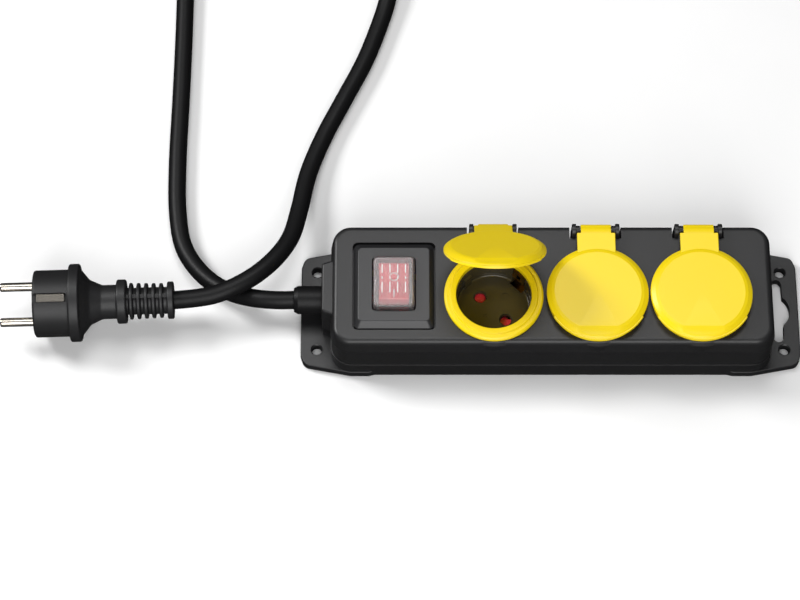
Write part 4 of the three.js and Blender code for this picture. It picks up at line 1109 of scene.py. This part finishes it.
frame_shape = stacked(
    [
        (34.3, switch_outline(21.2, 24.9, 3)),
        (37.2, switch_outline(21.2, 24.9, 3)),
        (37.6, switch_outline(20.9, 24.6, 3)),
        (39.9, switch_outline(19.2, 22.0, 2.4)),
        (40.25, switch_outline(18.9, 21.6, 2.2)),
        (40.4, switch_outline(18.4, 21.1, 2)),
    ]
)
opening = stacked(
    [
        (33, switch_outline(11.3, 15.3, 1.6)),
        (40.0, switch_outline(11.3, 15.3, 1.6)),
        (40.5, switch_outline(11.8, 15.8, 2)),
    ]
)
bezel = cut(frame_shape, opening)
place_piece("switch_bezel", bezel, black_abs, "strip", ["switch_frame"])
cap_low, cap_high = in_mm("switch_cap")
cap_half_x, cap_half_y = (cap_high.x - cap_low.x) / 2, (cap_high.y - cap_low.y) / 2
cap_outside = soft_plate(
    switch_outline(cap_half_x, cap_half_y, 2.4), cap_low.z, cap_high.z - 0.3, high_edge=1.3
)
COVER_WALL = 0.9
cap_inside = soft_plate(
    switch_outline(cap_half_x - COVER_WALL, cap_half_y - COVER_WALL, 1.6),
    cap_low.z - 1,
    cap_high.z - 0.3 - COVER_WALL,
    high_edge=0.8,
)
cover = cut(cap_outside, cap_inside)
place_piece("switch_cover", cover, clear_vinyl, "strip", ["switch_cap"])
print("switch cover:", len(cover.vertices), "points")

# %% [markdown]
# ## Grips on the cover
#
# The cover is pressed with a wet or gloved finger, so its top has four rows of small raised
# grips, each a long one, a dot and another long one. Their white is a painted highlight: the
# pale colour stands in for the glints of light on the cover's top, not for a colour of the vinyl.

# %% The cover's grips
GRIP_COLUMNS = (-6.2, -2.1, 2.0, 6.1)
GRIP_ROWS = ((4.6, 9.6), (1.0, 2.6), (-6.8, -0.6))  # from and to, along Y
GRIP_HALF_WIDTH = 0.32
# The grips' pale white is a painted highlight, standing in for glints of light on the cover.
vinyl_painted_glints = moulded("vinyl_white_painted_glint", "#efe4e4", "#fbf4f4", 0.4, grain_mm=0.5, depth_mm=0.05)
grips = []
for x in GRIP_COLUMNS:
    for start, end in GRIP_ROWS:
        middle = (SWITCH[0] + x, SWITCH[1] + (start + end) / 2)
        grip_line = rounded_rectangle(GRIP_HALF_WIDTH, (end - start) / 2, 0.3, middle, steps=4)
        grips.append(soft_plate(grip_line, 43.8, cap_high.z, high_edge=0.15))
grip_mesh = join(*grips)
# These grips carry the painted glint white.
place_piece("cover_grips_painted_glints", grip_mesh, vinyl_painted_glints, "strip")
print("grips:", len(grips))

# %% [markdown]
# ## The rocker
#
# The rocker's face is a shallow V, so that one end always stands up to be pressed. It rests with
# its rear end down, which is off. The ring and line are printed on it, as two thin raised marks.

# %% The rocker
ROCKER_TILT = math.radians(-11)
PIVOT = Vector((SWITCH[0], SWITCH[1], 31))
rocker_line = softened(
    [
        (PIVOT.y - 9, 28),
        (PIVOT.y + 9, 28),
        (PIVOT.y + 12, 35),
        (PIVOT.y + 12, 40.5, 0.8),
        (PIVOT.y, 38.4, 6),
        (PIVOT.y - 12, 40.5, 0.8),
        (PIVOT.y - 12, 35),
    ]
)
rocker_mesh = soft_plate(rocker_line, PIVOT.x - 8, PIVOT.x + 8, 0.6, 0.6)
trunnions = along_x(round_bar(1.2, PIVOT.x - 9.6, PIVOT.x + 9.6, (PIVOT.y, PIVOT.z)))
rocker_mesh = turned_open(join(along_x(rocker_mesh), trunnions), PIVOT, ROCKER_TILT)
place_piece("rocker", rocker_mesh, red_polycarbonate, "rocker", ["switch_rocker"])
FACE_SLOPE = math.atan2(2.1, 12)  # each half of the rocker's face rises by this angle
ring_mark = turned([(1.9, -0.1), (2.6, -0.1), (2.6, 0.08), (1.9, 0.08)], sides=40)
ring_mark.transform(Matrix.Rotation(FACE_SLOPE, 4, "X"))
ring_mark.transform(Matrix.Translation((PIVOT.x, PIVOT.y + 3.6, 39.1)))
line_mark = soft_plate(rounded_rectangle(0.4, 2.9, 0.3), -0.1, 0.08)
line_mark.transform(Matrix.Rotation(-FACE_SLOPE, 4, "X"))
line_mark.transform(Matrix.Translation((PIVOT.x, PIVOT.y - 7.8, 39.85)))
for name, mark in (("rocker_ring_mark", ring_mark), ("rocker_line_mark", line_mark)):
    place_piece(name, turned_open(mark, PIVOT, ROCKER_TILT), white_ink, "rocker")
print("rocker face slope:", round(math.degrees(FACE_SLOPE), 1), "degrees")

# %% [markdown]
# ## The cord's sleeve
#
# Where the cord enters the housing a rubber sleeve stops it from being bent sharply. Its tip is
# chamfered and its root is a flange inside the port.

# %% The sleeve
SLEEVE_ROOT = -107.6  # inner end of its flange
sleeve_line = softened(
    [
        (5.2, SLEEVE_TIP),
        (6.4, SLEEVE_TIP, 0.4),
        (SLEEVE_RADIUS, SLEEVE_TIP + 2.2, 0.8),
        (SLEEVE_RADIUS, SLEEVE_ROOT - 1.5),
        (SLEEVE_RADIUS + 2, SLEEVE_ROOT - 1.5),
        (SLEEVE_RADIUS + 2, SLEEVE_ROOT),
        (5.2, SLEEVE_ROOT),
    ]
)
sleeve_mesh = along_x(turned(sleeve_line, (0, CORD_Z), 64))
sleeve = place_piece("sleeve", sleeve_mesh, cord_rubber, "strip", ["cord_sleeve"])
print("sleeve length:", round(SLEEVE_ROOT - SLEEVE_TIP, 1), "mm")

# %% [markdown]
# ## The plug
#
# The plug is moulded in one with the cord's end. From the cord it has a tail of ribs that bends
# with the cord, joined by a spine on each side where the tool parts, then a collar, a waist for
# the fingers, a flange to pull on, and the barrel that enters the outlet. It is drawn lying along
# X with its tail at zero and is then laid where the CAD has it.

# %% The plug's profile
PLUG_PLACE = Matrix.Translation((-201, -1.2, 20.8))
PLUG_TURN = Matrix.Rotation(math.radians(1.85), 4, "Z") @ Matrix.Rotation(math.radians(15.8), 4, "X")
RIB_OUTER, RIB_ROOT, RIB_COUNT, RIB_PITCH = 9.3, 7.2, 5, 4.0
profile = [(0, 0), (10, 0, 0.8), (10, 3.3, 0.8), (RIB_ROOT, 3.4, 0.4)]
for i in range(RIB_COUNT):
    middle = 6.6 + RIB_PITCH * i
    outer = RIB_OUTER + 0.12 * i
    profile += [(RIB_ROOT, middle - 1.3, 0.4), (outer, middle - 0.8, 0.7), (outer, middle + 0.8, 0.7)]
    profile += [(RIB_ROOT, middle + 1.3, 0.4)]
profile += [
    (RIB_ROOT, 25, 0.3),
    (11.8, 25, 1.2),
    (11.8, 30.2, 1.2),
    (9.1, 30.4, 0.4),
    (9.1, 38, 4),
    (12.0, 44.4, 4),
    (18.0, 49.2, 0.6),
    (20.8, 49.4, 1.2),
    (20.8, 55.2, 1.2),
    (17.9, 55.3, 0.3),
    (17.9, 74.0, 1.4),
    (10, 74.4),
    (0, 74.6),
]
plug_line = [(radius, -along) for radius, along in softened(profile, steps=5)]
print("plug profile points:", len(plug_line))

# %% [markdown]
# ## Cutting and laying the plug
#
# Both sides of the barrel have a slot for the earth strip, and a groove that slides over the
# outlet's guides. The pins are nickel plated brass with rounded tips.

# %% The plug's pieces
def laid(mesh):
    mesh.transform(PLUG_PLACE @ PLUG_TURN)
    return mesh


PLUG_PIN_RADIUS = 2.4
plug_mesh = along_x(turned(plug_line, sides=96))
plug_tools = [block((-57.9, -2.5, -17), (-56.7, 2.5, 17))]
spines = []
for side in (-1, 1):
    z0, z1 = sorted((side * 15.8, side * 19))
    plug_tools.append(soft_plate(rounded_rectangle(10, 2.5, 1.6, (-65.6, 0)), z0, z1))
    y0, y1 = sorted((side * 16.3, side * 19))
    plug_tools.append(block((-76, y0, -2.5), (-57.6, y1, 2.5)))
    plug_tools.append(along_x(round_bar(PLUG_PIN_RADIUS + 0.3, -76, -62.3, (side * PIN_OFFSET, 0))))
    z0, z1 = sorted((side * 6.5, side * 8.7))
    spines.append(block((-26, 0.1, z0), (-2, 2.1, z1)))
plug_mesh = cut(join(plug_mesh, *spines), *plug_tools)
plug_piece = place_piece(
    "plug", laid(plug_mesh), plug_rubber, "strip", ["plug_body"]
)
pin_line = softened(
    [(0, -92.6), (PLUG_PIN_RADIUS, -92.6, 2.2), (PLUG_PIN_RADIUS, -62.6), (0, -62.6)]
)
for n, side in ((1, -1), (2, 1)):
    pin_mesh = laid(along_x(turned(pin_line, (side * PIN_OFFSET, 0), 40)))
    place_piece(f"pin_{n}", pin_mesh, nickel, "strip", [f"plug_pin_{n}"])
strip_legs = [block((-71.6, -2, z - 0.4), (-57, 2, z + 0.4)) for z in (-16.6, 16.6)]
strip_mesh = join(block((-57.8, -2, -17), (-57, 2, 17)), *strip_legs)
earth_strip = place_piece(
    "plug_earth_strip", laid(strip_mesh), nickel, "strip", ["plug_earth_contact"]
)
print("plug:", len(plug_mesh.vertices), "points")

# %% [markdown]
# ## Finishes for the inner pieces
#
# The pieces inside the strip and the small fixings keep their CAD shapes, which are right as they
# are, and take the finish of what they are made of. Little of them shows, but a reader who takes
# the housing off sees a finished part.

# %% Finishes for the CAD pieces
inner_finishes = {
    "housing_seal": seal_rubber,
    "cord_end": cord_rubber,
    "cord_clamp": dark_abs,
    "switch_body": dark_abs,
    "switch_lamp": clear_vinyl,
    "earth_busbar": brass,
    "live_busbar": brass,
    "neutral_busbar": brass,
    **wire_covers,
    **{f"shutter_{n}": red_polycarbonate for n in (1, 2, 3)},
    **{f"clamp_screw_{n}": steel for n in (1, 2)},
    **{f"housing_screw_{n}": steel for n in range(1, 7)},
}
for node, finish in inner_finishes.items():
    for material_slot in frame["nodes"][node].material_slots:
        material_slot.material = finish
plain = [n for n, o in frame["nodes"].items() if not o.hide_render and n not in inner_finishes]
print("inner pieces:", len(inner_finishes), "without a finish:", plain)

# %% [markdown]
# ## Floor and light
#
# The object lies on a plain white table. The light is that of a tent of white cloth: bright
# overhead, fading to dark at the sides, so that flat tops carry a soft sheen and upright walls
# stay black. The table is left out of reflections, because a real table would be further off and
# out of focus in them.

# %% Floor
FLOOR_REACH = 4
FLOOR_HEIGHT = -0.0002  # just under the object, so that no faces coincide
corners = [(-1, -1), (1, -1), (1, 1), (-1, 1)]
floor_mesh = bpy.data.meshes.new("floor")
floor_mesh.from_pydata(
    [(x * FLOOR_REACH, y * FLOOR_REACH, FLOOR_HEIGHT) for x, y in corners], [], [(0, 1, 2, 3)]
)
floor_mesh.materials.append(moulded("laminate_white_pressed", "#f8f8f8", "#fbfbfb", 0.8))
floor = bpy.data.objects.new("floor", floor_mesh)
floor.visible_glossy = False
scene.collection.objects.link(floor)

# %% [markdown]
# ## The tent
#
# The tent's brightness depends only on the direction one looks in. Overhead it is bright, and it
# darkens towards the horizon, so the ends of the body fall away into shade. In front, low down,
# a long white panel puts a soft light line along the front shoulder.

# %% The tent's brightness
OVERHEAD, HORIZON, FRONT_PANEL = 2.3, 0.42, 3.0
tent = bpy.data.worlds.new("tent")
tent.use_nodes = True
direction = add_node(tent, "ShaderNodeTexCoord").outputs["Generated"]
parts = add_node(tent, "ShaderNodeSeparateXYZ", {"Vector": direction})
from_above = add_node(
    tent,
    "ShaderNodeMapRange",
    {
        "Value": parts.outputs["Z"],
        "From Min": 0.05,
        "From Max": 0.7,
        "To Min": HORIZON,
        "To Max": OVERHEAD,
    },
    interpolation_type="SMOOTHSTEP",
).outputs["Result"]
from_front = add_node(
    tent,
    "ShaderNodeMapRange",
    {
        "Value": parts.outputs["Y"],
        "From Min": -0.55,
        "From Max": -0.95,
        "To Min": 0.0,
        "To Max": FRONT_PANEL,
    },
    interpolation_type="SMOOTHSTEP",
).outputs["Result"]
total = add_node(tent, "ShaderNodeMath", {0: from_above, 1: from_front}).outputs["Value"]
tent.node_tree.links.new(total, tent.node_tree.nodes["Background"].inputs["Strength"])
scene.world = tent

# %% [markdown]
# ## Lamps
#
# Three soft lamps add shape: one overhead towards the rear, which lights the flat tops, one in
# front and one from the rear left.

# %% Lamps
def add_lamp(name, place, target, size, power):
    """A square soft lamp that points at a place, with its power in watts."""
    data = bpy.data.lights.new(name, "AREA")
    data.size = size
    data.energy = power
    lamp = bpy.data.objects.new(name, data)
    scene.collection.objects.link(lamp)
    lamp.location = place
    lamp.rotation_mode = "QUATERNION"
    lamp.rotation_quaternion = (Vector(target) - Vector(place)).to_track_quat("-Z", "Y")


add_lamp("lamp_above", (-0.1, 0.45, 1.6), (-0.08, 0, 0), 0.8, 9)
add_lamp("lamp_front", (-0.08, -1.2, 0.95), (-0.06, 0, 0.03), 1.2, 17)
add_lamp("lamp_left", (-1.2, 0.5, 1.1), (-0.08, 0, 0), 0.5, 16)
print("lamps:", len(bpy.data.lights))
